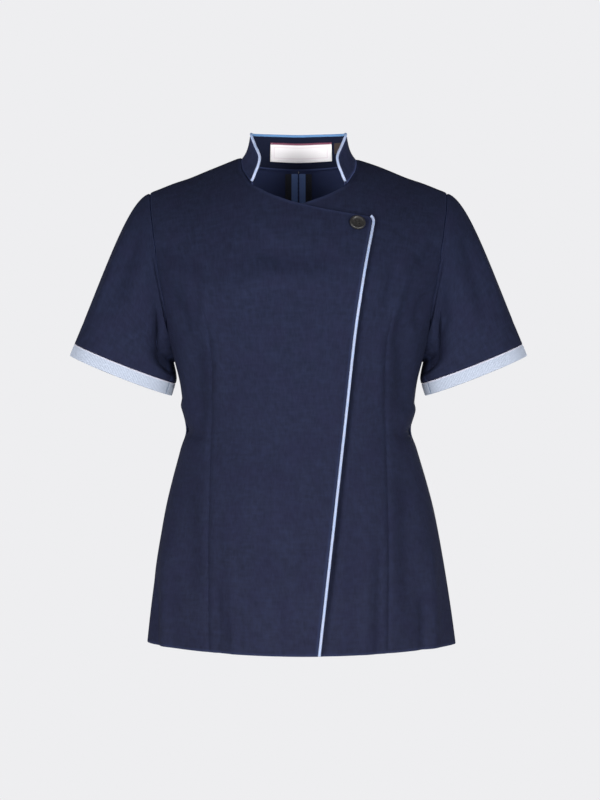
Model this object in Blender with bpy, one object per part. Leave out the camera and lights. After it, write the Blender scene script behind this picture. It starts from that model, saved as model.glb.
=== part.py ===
"""Short-sleeved wrap-front housekeeping blouse, modelled as the pieces of cloth it is cut and sewn from.

The blouse keeps the hollow form it has when worn: neck, hem and cuffs are open and every wall is one thin
layer of cloth. X runs across the shoulders with the wearer's left at +X, -Y is the front and +Z is up. The
origin lies midway between the shoulders, level with the middle of the shoulder seams.

Sizes are in millimetres until a finished solid is scaled to metres.
"""

import math
from bisect import bisect_right
from collections import namedtuple

import bmesh
import bpy
import numpy as np
from mathutils import Vector
from mathutils.geometry import delaunay_2d_cdt

MM = 0.001

# Cloth and gaps
CLOTH = 1.5
COLLAR_CLOTH = 2.2
CUFF_CLOTH = 1.8
LABEL_CLOTH = 0.7
SEAM_SETBACK = 0.2
SLEEVE_SETBACK = 0.35
LAP_GAP = 1.5
TRIM_GAP = 0.35

# Body form
HEM_Z = -617.5
HEM_DROP = 3.5
HEM_TILT = 1.1
WAIST_Z = -343.0
UNDERARM_Z = -238.0
BUST_Z = -165.0
SHOULDER_Y = 6.0
NECK_X = 74.0
SHOULDER_TIP_X = 194.0
HEM_LEAN = 3.8
BUST_X = 98.0
BUST_RISE = 9.0
BUST_SPREAD_X = 50.0
BUST_SPREAD_Z = 45.0

# Pattern plane: a quarter girth across, and the run from bust level up to the shoulder seam
QUARTER = 230.0
YOKE = 200.0
FRONT = -1
BACK = 1
YOKE_POWER = {FRONT: 1.75, BACK: 0.62}

# Mesh spacing in the pattern plane
ROW = 25.0
COLUMN = 24.0
SCYE_STEPS = 16
CORNER_STEPS = 4
FRONT_NECK_STEPS = 6
NECKLINE_STEPS = 9
BACK_NECK_STEPS = 8

# Darts
DART_PINCH = 1.6
DART_HALF = 5.0
DART_FADE = 60.0
BACK_DART_X = 84.0
BACK_DART_TOP = -215.0
BACK_DART_END = -520.0

# Lap of the right front over the left
LAP_START_X = -110.0
LAP_FULL_X = -55.0

# Sleeves and cuffs
SLEEVE_TILT = math.radians(21.5)
CUFF_SEAM_X = 225.3
CUFF_SEAM_Z = -254.7
CUFF_HALF_WIDTH = 70.4
CUFF_HALF_DEPTH = 50.0
CUFF_POWER = 2.2
CUFF_DROP = 15.8
CUFF_SAG = 2.3
CUFF_GAP = 0.55
CUFF_OUT = 5.5
CUFF_FLARE = 0.6
SLEEVE_ROWS = (0.0, 0.1, 0.22, 0.36, 0.5, 0.66, 0.83, 1.0)

# Trims
PIPING_RADIUS = 1.75
PIPING_RISE = 0.6
COLLAR_PIPING_RADIUS = 1.7
PIPING_SIDES = 7
COLLAR_SAG = 1.3
COLLAR_SAG_HEIGHT = 30.0
COLLAR_SEAT = 0.6
BUTTON_X = 73.6
BUTTON_Z = -81.2
BUTTON_RADIUS = 10.2
BUTTON_SIDES = 28
BUTTON_SEAT = -0.1
BUTTON_HOLE_RADIUS = 0.95
BUTTON_HOLE_OFFSET = 1.9
BUTTON_HOLE_MIDDLE = 2.0
BUTTON_HOLE_LENGTH = 8.0

# Cross-sections of the body: the powers say how square each is across its width and through its depth
Level = namedtuple("Level", "z half_width front_depth back_depth width_power depth_power")
LEVELS = (
    Level(-625.0, 201.5, 126.0, 115.0, 1.93, 1.17),
    Level(-572.0, 195.0, 122.0, 112.0, 1.98, 1.28),
    Level(-510.0, 186.0, 116.0, 105.0, 2.08, 1.50),
    Level(-447.0, 175.0, 110.0, 95.0, 2.20, 1.80),
    Level(-406.0, 165.0, 104.5, 87.0, 2.24, 1.92),
    Level(-364.0, 153.0, 98.5, 79.5, 2.28, 2.02),
    Level(-343.0, 146.5, 97.0, 78.0, 2.30, 2.06),
    Level(-322.0, 149.0, 98.5, 79.5, 2.32, 2.10),
    Level(-281.0, 154.0, 106.0, 86.0, 2.35, 2.18),
    Level(-253.0, 160.5, 111.0, 91.0, 2.37, 2.22),
    Level(-224.0, 168.5, 116.0, 96.0, 2.38, 2.27),
    Level(-195.0, 177.0, 119.0, 100.0, 2.40, 2.30),
    Level(-165.0, 185.0, 119.0, 101.0, 2.40, 2.30),
)

Yoke = namedtuple("Yoke", "run half_width")
YOKE_WIDTHS = (
    Yoke(0.0, 185.0),
    Yoke(60.0, 203.0),
    Yoke(120.0, 216.0),
    Yoke(200.0, 225.0),
)

Shoulder = namedtuple("Shoulder", "x z")
SHOULDER_LINE = (
    Shoulder(0.0, 31.0),
    Shoulder(40.0, 21.0),
    Shoulder(77.0, 11.2),
    Shoulder(101.0, 3.5),
    Shoulder(120.0, -4.0),
    Shoulder(141.0, -12.7),
    Shoulder(163.0, -20.1),
    Shoulder(180.0, -26.9),
    Shoulder(194.0, -33.0),
    Shoulder(225.0, -56.0),
)

# Points that a cut edge passes through, as seen from the front or back
Cut = namedtuple("Cut", "x z")
FRONT_SCYE = (
    Cut(188.0, -77.0),
    Cut(183.5, -112.0),
    Cut(177.5, -150.0),
    Cut(172.0, -184.0),
    Cut(168.5, -211.0),
)
BACK_SCYE = (
    Cut(190.5, -77.0),
    Cut(187.5, -112.0),
    Cut(183.0, -150.0),
    Cut(177.0, -186.0),
    Cut(169.5, -213.0),
)
FRONT_NECK_SEAM = (Cut(72.7, -4.0), Cut(66.0, -17.0), Cut(62.0, -23.5), Cut(59.5, -28.0))
BACK_NECK_SEAM = (Cut(66.0, 9.5), Cut(50.0, 7.0), Cut(26.0, 5.3), Cut(0.0, 4.7))
NECKLINE = (Cut(38.0, -40.2), Cut(19.0, -48.0), Cut(0.0, -53.6))
LAP_TOP = (Cut(-16.5, -58.3), Cut(-47.4, -64.6), Cut(-66.0, -67.6), Cut(-88.4, -71.3))
LAP_CORNER = (Cut(-88.4, -71.3), Cut(-91.2, -73.4), Cut(-92.3, -77.0))
LAP_EDGE = (
    Cut(-91.9, -81.5),
    Cut(-82.5, -129.0),
    Cut(-74.8, -175.0),
    Cut(-68.9, -215.0),
    Cut(-63.4, -264.0),
    Cut(-56.6, -330.0),
    Cut(-44.3, -440.0),
    Cut(-23.7, -620.5),
)
UNDERLAP_TOP = (Cut(-20.0, -59.4), Cut(-40.0, -65.0))
UNDERLAP_EDGE = (Cut(-39.0, -120.0), Cut(-20.0, -620.5))

Dart = namedtuple("Dart", "z x")
FRONT_DART = (
    Dart(-622.0, 113.8),
    Dart(-500.0, 115.0),
    Dart(-363.0, 112.3),
    Dart(-290.0, 109.8),
    Dart(-249.0, 110.5),
    Dart(-181.0, 118.7),
)

# How the sleeve leaves the armhole and arrives at the cuff, by the angle round it from the underarm
Leave = namedtuple("Leave", "angle out forward up pull tilt")
SLEEVE_LEAVES = (
    Leave(0.0, 3.0, 0.0, -26.0, 42.0, 26.0),
    Leave(45.0, 22.0, 2.0, -38.0, 70.0, 23.0),
    Leave(90.0, 45.0, 8.0, -55.0, 160.0, 21.5),
    Leave(135.0, 72.0, 5.0, -30.0, 250.0, 22.0),
    Leave(180.0, 86.5, 0.0, -22.0, 280.0, 23.1),
)

# Collar stand, from the centre back round to its front end
Stand = namedtuple("Stand", "side base_x base_z top_x top_y top_z")
COLLAR_STANDS = (
    Stand(BACK, 0.0, 4.7, 0.0, 58.0, 46.7),
    Stand(BACK, 26.0, 5.3, 24.0, 55.0, 46.8),
    Stand(BACK, 50.0, 7.0, 44.5, 43.0, 46.0),
    Stand(BACK, 66.0, 9.5, 59.5, 23.0, 44.4),
    Stand(BACK, 74.0, None, 62.8, 1.0, 42.0),
    Stand(FRONT, 72.7, -4.0, 57.5, -17.0, 26.5),
    Stand(FRONT, 66.0, -17.0, 51.6, -36.0, 10.5),
    Stand(FRONT, 62.0, -23.5, 52.8, -45.0, -1.0),
    Stand(FRONT, 60.2, -26.5, 57.2, -51.5, -13.5),
    Stand(FRONT, 59.5, -28.0, 60.2, -55.0, -23.5),
)
COLLAR_COLUMNS = 20
COLLAR_HEIGHTS = (0.0, 0.2, 0.5, 0.8, 1.0)

Patch = namedtuple("Patch", "x_low x_high height_low height_high")
LABEL_PATCH = Patch(-38.5, 45.5, 0.20, 0.81)
TAB_PATCH = Patch(48.8, 59.0, 0.42, 0.78)
PATCH_COLUMN = 9.0
PATCH_ROWS = 3

Turn = namedtuple("Turn", "radius height")
BUTTON_PROFILE = (
    Turn(8.6, 0.0),
    Turn(BUTTON_RADIUS, 1.4),
    Turn(BUTTON_RADIUS, 2.6),
    Turn(9.2, 3.8),
    Turn(7.6, 3.9),
    Turn(6.2, 2.7),
)

NAVY = (0.022, 0.027, 0.056)
LIGHT_BLUE = (0.66, 0.73, 0.84)
EDGE_BLUE = (0.40, 0.53, 0.80)
BUTTON_BROWN = (0.018, 0.017, 0.018)
LABEL_WHITE = (0.84, 0.80, 0.82)


def read(table, at, column):
    """Reads one column of a table at any place, on a smooth curve through its rows."""
    keys = [row[0] for row in table]
    values = [getattr(row, column) for row in table]
    at = min(max(at, keys[0]), keys[-1])
    low = max(min(bisect_right(keys, at), len(keys) - 1) - 1, 0)
    span = keys[low + 1] - keys[low]
    part = (at - keys[low]) / span

    def slope(i):
        before, after = max(i - 1, 0), min(i + 1, len(keys) - 1)
        return (values[after] - values[before]) / (keys[after] - keys[before])

    return hermite(values[low], values[low + 1], slope(low) * span, slope(low + 1) * span, part)


def hermite(start, end, leave, arrive, part):
    """Cubic from start to end that leaves and arrives with the given speeds."""
    square, cube = part * part, part ** 3
    return ((2 * cube - 3 * square + 1) * start + (3 * square - 2 * cube) * end
            + (cube - 2 * square + part) * leave + (cube - square) * arrive)


def curve_through(points, count):
    """Returns count + 1 evenly spaced points on a smooth curve through the given ones."""
    knots = np.array([tuple(p) for p in points], float)
    places = np.concatenate(([0.0], np.cumsum(np.linalg.norm(np.diff(knots, axis=0), axis=1))))
    slopes = []
    for i in range(len(knots)):
        before, after = max(i - 1, 0), min(i + 1, len(knots) - 1)
        slopes.append((knots[after] - knots[before]) / (places[after] - places[before]))
    fine = []
    for i in range(len(knots) - 1):
        span = places[i + 1] - places[i]
        for part in np.linspace(0.0, 1.0, 16, endpoint=False):
            fine.append(hermite(knots[i], knots[i + 1], slopes[i] * span, slopes[i + 1] * span, part))
    fine.append(knots[-1])
    fine = np.array(fine)
    run = np.concatenate(([0.0], np.cumsum(np.linalg.norm(np.diff(fine, axis=0), axis=1))))
    wanted = np.linspace(0.0, run[-1], count + 1)
    return [np.array([np.interp(w, run, fine[:, axis]) for axis in range(fine.shape[1])]) for w in wanted]


def smooth_step(low, high, at):
    """Rises from 0 to 1 between low and high, level at both ends."""
    part = min(max((at - low) / (high - low), 0.0), 1.0)
    return part * part * (3.0 - 2.0 * part)


def unit(vector):
    """The vector at length 1."""
    return vector / np.linalg.norm(vector)


def lean(z):
    """Sideways drift of the skirt below the waist."""
    return HEM_LEAN * min(max((WAIST_Z - z) / (WAIST_Z - HEM_Z), 0.0), 1.0)


def half_width(t):
    """Half the body's width at a height in the pattern plane."""
    if t > 0.0:
        return read(YOKE_WIDTHS, t, "half_width")
    return read(LEVELS, BUST_Z + t, "half_width")


def section_power(t, column):
    """How square the body's cross-section is at a height in the pattern plane."""
    return read(LEVELS, BUST_Z + min(t, 0.0), column)


def body_point(s, t, side):
    """Outer face of the body: s runs round it from the centre, and t runs up it from the bust."""
    angle = min(abs(s) / QUARTER, 1.0) * math.pi / 2
    x = math.copysign(half_width(t) * math.sin(angle) ** (2 / section_power(t, "width_power")), s)
    roundness = max(math.cos(angle), 0.0) ** (2 / section_power(t, "depth_power"))
    column = "front_depth" if side == FRONT else "back_depth"
    if t > 0.0:
        lift = min(t / YOKE, 1.0) * math.pi / 2
        reach = max(math.cos(lift), 0.0) ** YOKE_POWER[side]
        z = BUST_Z + (read(SHOULDER_LINE, abs(x), "z") - BUST_Z) * math.sin(lift)
        y = SHOULDER_Y + reach * (side * read(LEVELS, BUST_Z, column) * roundness - SHOULDER_Y)
    else:
        z = BUST_Z + t
        y = side * read(LEVELS, z, column) * roundness
    if side == FRONT:
        across = (abs(x) - BUST_X) / BUST_SPREAD_X
        along = (z - BUST_Z) / BUST_SPREAD_Z
        y -= BUST_RISE * math.exp(-across ** 2 - along ** 2) * roundness
    return np.array((x + lean(z), y, z))


def face_normal(s, t, side):
    """Outward direction of the front's or back's outer face."""
    step = 0.6
    s_low, s_high = max(s - step, -QUARTER), min(s + step, QUARTER)
    t_low, t_high = t - step, min(t + step, YOKE)
    across = body_point(s_high, t, side) - body_point(s_low, t, side)
    up = body_point(s, t_high, side) - body_point(s, t_low, side)
    return -side * unit(np.cross(across, up))


def body_normal(s, t, side):
    """Outward direction of the body, shared by front and back along their side and shoulder seams."""
    normal = face_normal(s, t, side)
    if abs(s) > QUARTER - 0.01 or t > YOKE - 0.01:
        return unit(normal + face_normal(s, t, -side))
    return normal


def on_body(x, z, side):
    """Pattern-plane place of a point of the body given as seen from the front or back."""
    x -= lean(z)
    t = z - BUST_Z
    if t > 0.0:
        lift = math.asin(min(t / (read(SHOULDER_LINE, abs(x), "z") - BUST_Z), 1.0))
        t = YOKE * lift / (math.pi / 2)
    ratio = min(abs(x) / half_width(t), 1.0)
    angle = math.asin(ratio ** (section_power(t, "width_power") / 2))
    return np.array((math.copysign(QUARTER * angle / (math.pi / 2), x), t))


def places(cuts, sign, side):
    """Pattern-plane places of a row of cut points, on the sign's half of the blouse."""
    return [on_body(sign * cut.x, cut.z, side) for cut in cuts]


def shoulder_place(x, side):
    """Pattern-plane place of a point of the shoulder seam."""
    return on_body(x, read(SHOULDER_LINE, abs(x), "z"), side)


def hem_level(s):
    """Height of the hem in the pattern plane."""
    return HEM_Z - BUST_Z - HEM_DROP * math.cos(min(abs(s) / QUARTER, 1.0) * math.pi / 2) - HEM_TILT * s / QUARTER


def scye(sign, side):
    """Armhole edge from the underarm up to the shoulder tip."""
    rows = FRONT_SCYE if side == FRONT else BACK_SCYE
    points = [np.array((sign * QUARTER, UNDERARM_Z - BUST_Z))]
    points += places(rows[::-1], sign, side)
    points.append(shoulder_place(sign * SHOULDER_TIP_X, side))
    return curve_through(points, SCYE_STEPS)


def dart_place(sign, t, side):
    """Where a dart's line lies across the pattern plane at a height."""
    if side == FRONT:
        z = min(BUST_Z + t, FRONT_DART[-1].z)
        x = read(FRONT_DART, z, "x")
    else:
        z = min(BUST_Z + t, BACK_DART_TOP)
        x = BACK_DART_X
    return on_body(sign * x, z, side)[0]


def dart_depth(sign, s, t, side):
    """How far the cloth is drawn in along a dart."""
    z = BUST_Z + t
    if side == FRONT:
        fade = smooth_step(FRONT_DART[-1].z, FRONT_DART[-1].z - DART_FADE, z)
    else:
        fade = smooth_step(BACK_DART_TOP, BACK_DART_TOP - DART_FADE, z)
        fade *= smooth_step(BACK_DART_END, BACK_DART_END + DART_FADE, z)
    if fade == 0.0:
        return 0.0
    across = (s - dart_place(sign, t, side)) / (DART_HALF * 0.8)
    return DART_PINCH * fade * math.exp(-across ** 2)


def columns(sign, t, side):
    """Places across one row of the mesh: on the dart, beside it, and evenly elsewhere."""
    line = dart_place(sign, t, side)
    shift = 0.5 * (round(t / ROW) % 2)
    steps = [COLUMN * (k + shift) for k in range(-10, 10)]
    found = [line - DART_HALF, line, line + DART_HALF]
    found += [s for s in steps if abs(s) < QUARTER and abs(s - line) > DART_HALF + COLUMN * 0.35]
    return sorted(found)


def run_points(start, end, spacing):
    """Evenly spaced places from start up to but without end."""
    count = max(1, round(float(np.linalg.norm(end - start)) / spacing))
    return [start + (end - start) * k / count for k in range(count)]


def inside(place, outline, margin):
    """Whether a place lies in the outline and at least margin from it."""
    x, y = place
    crossings = 0
    for (ax, ay), (bx, by) in zip(outline, outline[1:] + outline[:1]):
        if (ay > y) != (by > y) and x < ax + (y - ay) * (bx - ax) / (by - ay):
            crossings += 1
        along = np.array((bx - ax, by - ay))
        part = ((x - ax) * along[0] + (y - ay) * along[1]) / max(along @ along, 1e-9)
        part = min(max(part, 0.0), 1.0)
        if math.hypot(x - ax - along[0] * part, y - ay - along[1] * part) < margin:
            return False
    return crossings % 2 == 1


def inner_edge(sign, corner, edge):
    """A front's free edge, from its top corner down to the hem."""
    line = curve_through(edge, round(-HEM_Z / ROW))
    if corner:
        line = curve_through(corner + edge[:1], CORNER_STEPS)[:-1] + line
    return places([Cut(*point) for point in line], sign, FRONT)


def front_outline(sign, top, corner, edge):
    """Cut edge of a front: hem, side seam, armhole, shoulder, neck seam, neckline and inner edge."""
    inner = inner_edge(sign, corner, edge)
    hem_start = np.array((inner[-1][0], hem_level(inner[-1][0])))
    low, high = sorted((hem_start[0], sign * QUARTER))
    hem_row = [s for s in columns(sign, hem_start[1], FRONT) if low + DART_HALF < s < high - DART_HALF]
    points = [hem_start] + [np.array((s, hem_level(s))) for s in sorted(hem_row, key=lambda s: sign * s)]
    seam_foot = np.array((sign * QUARTER, hem_level(sign * QUARTER)))
    armhole = scye(sign, FRONT)
    points += run_points(seam_foot, armhole[0], ROW)
    points += armhole[:-1]
    points += run_points(armhole[-1], shoulder_place(sign * NECK_X, FRONT), COLUMN)
    neck = [shoulder_place(sign * NECK_X, FRONT)] + places(FRONT_NECK_SEAM, sign, FRONT)
    points += curve_through(neck, FRONT_NECK_STEPS)[:-1]
    line = neck[-1:] + places(NECKLINE + top, sign, FRONT)
    points += curve_through(line, NECKLINE_STEPS)[: -1 if corner else None]
    points += inner[:-1]
    return points


def back_outline(sign):
    """Cut edge of a back half: hem, side seam, armhole, shoulder, neck seam and centre-back seam."""
    hem_start = np.array((0.0, hem_level(0.0)))
    hem_row = [s for s in columns(sign, hem_start[1], BACK) if DART_HALF < sign * s < QUARTER - DART_HALF]
    points = [hem_start] + [np.array((s, hem_level(s))) for s in sorted(hem_row, key=lambda s: sign * s)]
    seam_foot = np.array((sign * QUARTER, hem_level(sign * QUARTER)))
    armhole = scye(sign, BACK)
    points += run_points(seam_foot, armhole[0], ROW)
    points += armhole[:-1]
    points += run_points(armhole[-1], shoulder_place(sign * NECK_X, BACK), COLUMN)
    seam = [shoulder_place(sign * NECK_X, BACK)] + places(BACK_NECK_SEAM, sign, BACK)
    neck = curve_through(seam, BACK_NECK_STEPS)
    points += neck[:-1]
    points += run_points(neck[-1], hem_start, ROW)
    return points


def mesh_places(outline, sign, side):
    """Places inside an outline, in rows whose columns follow the dart."""
    found = []
    t = ROW * math.ceil((HEM_Z - BUST_Z + ROW * 0.6) / ROW)
    while t < YOKE:
        found += [(s, t) for s in columns(sign, t, side)]
        t += ROW
    return [np.array(p) for p in found if inside(p, outline, COLUMN * 0.42)]


def boundary(faces):
    """Directed edges that only one face has."""
    edges = {(a, b) for face in faces for a, b in zip(face, face[1:] + face[:1])}
    return [(a, b) for a, b in edges if (b, a) not in edges]


def wall(outer, inner, faces):
    """Closes an outer and an inner layer of points into one thin wall."""
    count = len(outer)
    solid = [list(face) for face in faces]
    solid += [[i + count for i in reversed(face)] for face in faces]
    solid += [[b, a, a + count, b + count] for a, b in boundary(faces)]
    return list(outer) + list(inner), solid


def add_solid(name, points, faces, colour, roughness):
    """Makes a named object from points in millimetres."""
    mesh = bpy.data.meshes.new(name)
    mesh.from_pydata([tuple(p * MM) for p in points], [], faces)
    form = bmesh.new()
    form.from_mesh(mesh)
    bmesh.ops.triangulate(form, faces=form.faces)
    bmesh.ops.recalc_face_normals(form, faces=form.faces)
    form.to_mesh(mesh)
    form.free()
    mesh.shade_smooth()
    mesh.set_sharp_from_angle(angle=math.radians(40))
    material = bpy.data.materials.new(name)
    material.use_nodes = True
    shader = material.node_tree.nodes["Principled BSDF"]
    shader.inputs["Base Color"].default_value = (*colour, 1.0)
    shader.inputs["Roughness"].default_value = roughness
    shader.inputs["Metallic"].default_value = 0.0
    mesh.materials.append(material)
    solid = bpy.data.objects.new(name, mesh)
    bpy.context.scene.collection.objects.link(solid)
    return solid


def lap_rise(x):
    """How far the right front stands off the body where it passes over the left front."""
    return (CLOTH + LAP_GAP) * smooth_step(LAP_START_X, LAP_FULL_X, x)


def panel(name, outline, sign, side, over):
    """Cuts one body panel from the pattern plane and gives it its thickness."""
    inner = mesh_places(outline, sign, side)
    flat = [Vector((float(p[0]), float(p[1]))) for p in outline + inner]
    flat, _, faces, _, _, _ = delaunay_2d_cdt(flat, [], [list(range(len(outline)))], 1, 1e-4)
    faces = [list(face) if side == FRONT else list(reversed(face)) for face in faces]
    outer, normals = [], []
    for s, t in flat:
        point, normal = body_point(s, t, side), body_normal(s, t, side)
        rise = -dart_depth(sign, s, t, side)
        if over:
            rise += lap_rise(point[0])
        outer.append(point + normal * rise)
        normals.append(normal)
    after = dict(boundary(faces))
    before = {b: a for a, b in after.items()}
    moved = {}
    for i in after:
        along = unit(outer[after[i]] - outer[before[i]])
        moved[i] = outer[i] + unit(np.cross(normals[i], along)) * SEAM_SETBACK
    for i, point in moved.items():
        outer[i] = point
    layer = [point - normal * CLOTH for point, normal in zip(outer, normals)]
    points, faces = wall(outer, layer, faces)
    return add_solid(name, points, faces, NAVY, 0.75)


def grid_faces(rows, count, closed):
    """Four-sided faces of a grid of points, joined end to end where it is closed."""
    faces = []
    for r in range(rows - 1):
        low, high = r * count, (r + 1) * count
        for c in range(count if closed else count - 1):
            after = (c + 1) % count
            faces.append([low + c, low + after, high + after, high + c])
    return faces


def grid_normals(grid, closed, centres):
    """Unit normals of a grid of points, turned away from each row's centre."""
    rows, count = len(grid), len(grid[0])
    normals = []
    for r in range(rows):
        line = []
        for c in range(count):
            if closed:
                across = grid[r][(c + 1) % count] - grid[r][c - 1]
            else:
                across = grid[r][min(c + 1, count - 1)] - grid[r][max(c - 1, 0)]
            up = grid[min(r + 1, rows - 1)][c] - grid[max(r - 1, 0)][c]
            normal = unit(np.cross(across, up))
            if normal @ (grid[r][c] - centres[r]) < 0.0:
                normal = -normal
            line.append(normal)
        normals.append(line)
    return normals


def grid_wall(grid, normals, closed, thickness):
    """A thin wall whose outer layer is a grid of points."""
    outer = [point for line in grid for point in line]
    ways = [normal for line in normals for normal in line]
    layer = [point - normal * thickness for point, normal in zip(outer, ways)]
    return wall(outer, layer, grid_faces(len(grid), len(grid[0]), closed))


def armhole_ring(sign):
    """The whole armhole: up the front from the underarm, then down the back."""
    front = [body_point(s, t, FRONT) for s, t in scye(sign, FRONT)]
    back = [body_point(s, t, BACK) for s, t in scye(sign, BACK)]
    return front + back[-2:0:-1]


def cuff_ring(sign, down, out, wide, deep):
    """An oval ring across the end of the sleeve, one point for each point of the armhole."""
    centre = np.array((sign * (CUFF_SEAM_X + out), 0.0, CUFF_SEAM_Z - down))
    across = np.array((sign * math.cos(SLEEVE_TILT), 0.0, math.sin(SLEEVE_TILT)))
    ring = []
    for k in range(2 * SCYE_STEPS):
        angle = math.pi * k / SCYE_STEPS
        u = -math.copysign(abs(math.cos(angle)) ** (2 / CUFF_POWER), math.cos(angle))
        v = -math.copysign(abs(math.sin(angle)) ** (2 / CUFF_POWER), math.sin(angle))
        ring.append(centre + across * u * wide + np.array((0.0, v * deep, -CUFF_SAG * v * v)))
    return centre, ring


def sleeve(name, sign):
    """A sleeve: a tube from the armhole to the cuff seam."""
    start = [point + np.array((sign * SLEEVE_SETBACK, 0.0, 0.0)) for point in armhole_ring(sign)]
    centre, end = cuff_ring(sign, 0.0, 0.0, CUFF_HALF_WIDTH, CUFF_HALF_DEPTH)
    grid = []
    for part in SLEEVE_ROWS:
        line = []
        for k in range(2 * SCYE_STEPS):
            angle = 180.0 * k / SCYE_STEPS
            turn = min(angle, 360.0 - angle)
            facing = FRONT if angle < 180.0 else BACK
            leave = np.array((
                sign * read(SLEEVE_LEAVES, turn, "out"),
                facing * read(SLEEVE_LEAVES, turn, "forward"),
                read(SLEEVE_LEAVES, turn, "up"),
            ))
            tilt = math.radians(read(SLEEVE_LEAVES, turn, "tilt"))
            pull = read(SLEEVE_LEAVES, turn, "pull")
            arrive = np.array((sign * math.sin(tilt), 0.0, -math.cos(tilt))) * pull
            line.append(hermite(start[k], end[k], leave, arrive, part))
        grid.append(line)
    centres = [np.mean(line, axis=0) for line in grid]
    points, faces = grid_wall(grid, grid_normals(grid, True, centres), True, CLOTH)
    return add_solid(name, points, faces, NAVY, 0.75)


def cuff(name, sign):
    """The light band round the end of a sleeve."""
    grid, centres = [], []
    for part in (0.0, 0.5, 1.0):
        down = CUFF_GAP + (CUFF_DROP - CUFF_GAP) * part
        wide = CUFF_HALF_WIDTH + CUFF_FLARE * part
        deep = CUFF_HALF_DEPTH + CUFF_FLARE * part
        centre, ring = cuff_ring(sign, down, CUFF_OUT * part, wide, deep)
        grid.append(ring)
        centres.append(centre)
    points, faces = grid_wall(grid, grid_normals(grid, True, centres), True, CUFF_CLOTH)
    return add_solid(name, points, faces, LIGHT_BLUE, 0.7)


def stand_base(stand, sign):
    """Where a row of the collar table meets the body."""
    z = read(SHOULDER_LINE, stand.base_x, "z") if stand.base_z is None else stand.base_z
    s, t = on_body(sign * stand.base_x, z, stand.side)
    return body_point(s, t, stand.side)


def collar_grid():
    """Outer face of the collar, from its right front end round the back to its left front end."""
    half_base = [stand_base(stand, 1) for stand in COLLAR_STANDS]
    half_top = [np.array((stand.top_x, stand.top_y, stand.top_z)) for stand in COLLAR_STANDS]
    mirror = np.array((-1.0, 1.0, 1.0))
    base = curve_through([p * mirror for p in half_base[:0:-1]] + half_base, 2 * COLLAR_COLUMNS)
    top = curve_through([p * mirror for p in half_top[:0:-1]] + half_top, 2 * COLLAR_COLUMNS)
    grid = []
    for height in COLLAR_HEIGHTS:
        line = []
        for low, high in zip(base, top):
            rise = unit(high - low)
            away = unit(np.array((low[0], low[1] - SHOULDER_Y, 0.0)))
            tallness = min(np.linalg.norm(high - low) / COLLAR_SAG_HEIGHT, 1.0)
            sag = COLLAR_SAG * math.sin(math.pi * height) * abs(away[0]) * tallness
            line.append(low + rise * COLLAR_SEAT + (high - low - rise * COLLAR_SEAT) * height - away * sag)
        grid.append(line)
    return grid


def collar_parts():
    """Collar grid with its outward normals."""
    grid = collar_grid()
    middle = np.array((0.0, SHOULDER_Y, 0.0))
    centres = [middle + np.array((0.0, 0.0, np.mean([p[2] for p in line]))) for line in grid]
    return grid, grid_normals(grid, False, centres)


def tube(name, path, radius, colour):
    """A round cord along a path, closed at both ends."""
    path = np.array(path)
    frame = np.array((0.0, -1.0, 0.0))
    points, faces = [], []
    for i, place in enumerate(path):
        along = unit(path[min(i + 1, len(path) - 1)] - path[max(i - 1, 0)])
        frame = unit(frame - along * (frame @ along))
        other = np.cross(along, frame)
        for k in range(PIPING_SIDES):
            angle = 2 * math.pi * k / PIPING_SIDES
            points.append(place + (frame * math.cos(angle) + other * math.sin(angle)) * radius)
    faces = grid_faces(len(path), PIPING_SIDES, True)
    faces.append(list(range(PIPING_SIDES))[::-1])
    faces.append([len(points) - PIPING_SIDES + k for k in range(PIPING_SIDES)])
    return add_solid(name, points, faces, colour, 0.6)


def collar_piping(grid, normals):
    """Piping along the collar's top and front edges."""
    path = []
    for below, edge, normal in zip(grid[-2], grid[-1], normals[-1]):
        rise = unit(edge - below)
        path.append(edge - normal * COLLAR_CLOTH / 2 + rise * (COLLAR_PIPING_RADIUS + COLLAR_SEAT))
    return tube("collar_piping", path, COLLAR_PIPING_RADIUS, EDGE_BLUE)


def front_piping():
    """Piping down the free edge of the right front, from its top corner to the hem."""
    path = []
    for s, t in inner_edge(-1, LAP_CORNER, LAP_EDGE)[1:]:
        point, normal = body_point(s, t, FRONT), body_normal(s, t, FRONT)
        path.append((point, normal))
    cord = []
    for i, (point, normal) in enumerate(path):
        along = unit(path[min(i + 1, len(path) - 1)][0] - path[max(i - 1, 0)][0])
        out = unit(np.cross(normal, along))
        rise = LAP_GAP + CLOTH / 2 + PIPING_RISE
        cord.append(point + normal * rise + out * (PIPING_RADIUS + TRIM_GAP))
    return tube("front_piping", cord, PIPING_RADIUS, EDGE_BLUE)


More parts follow.
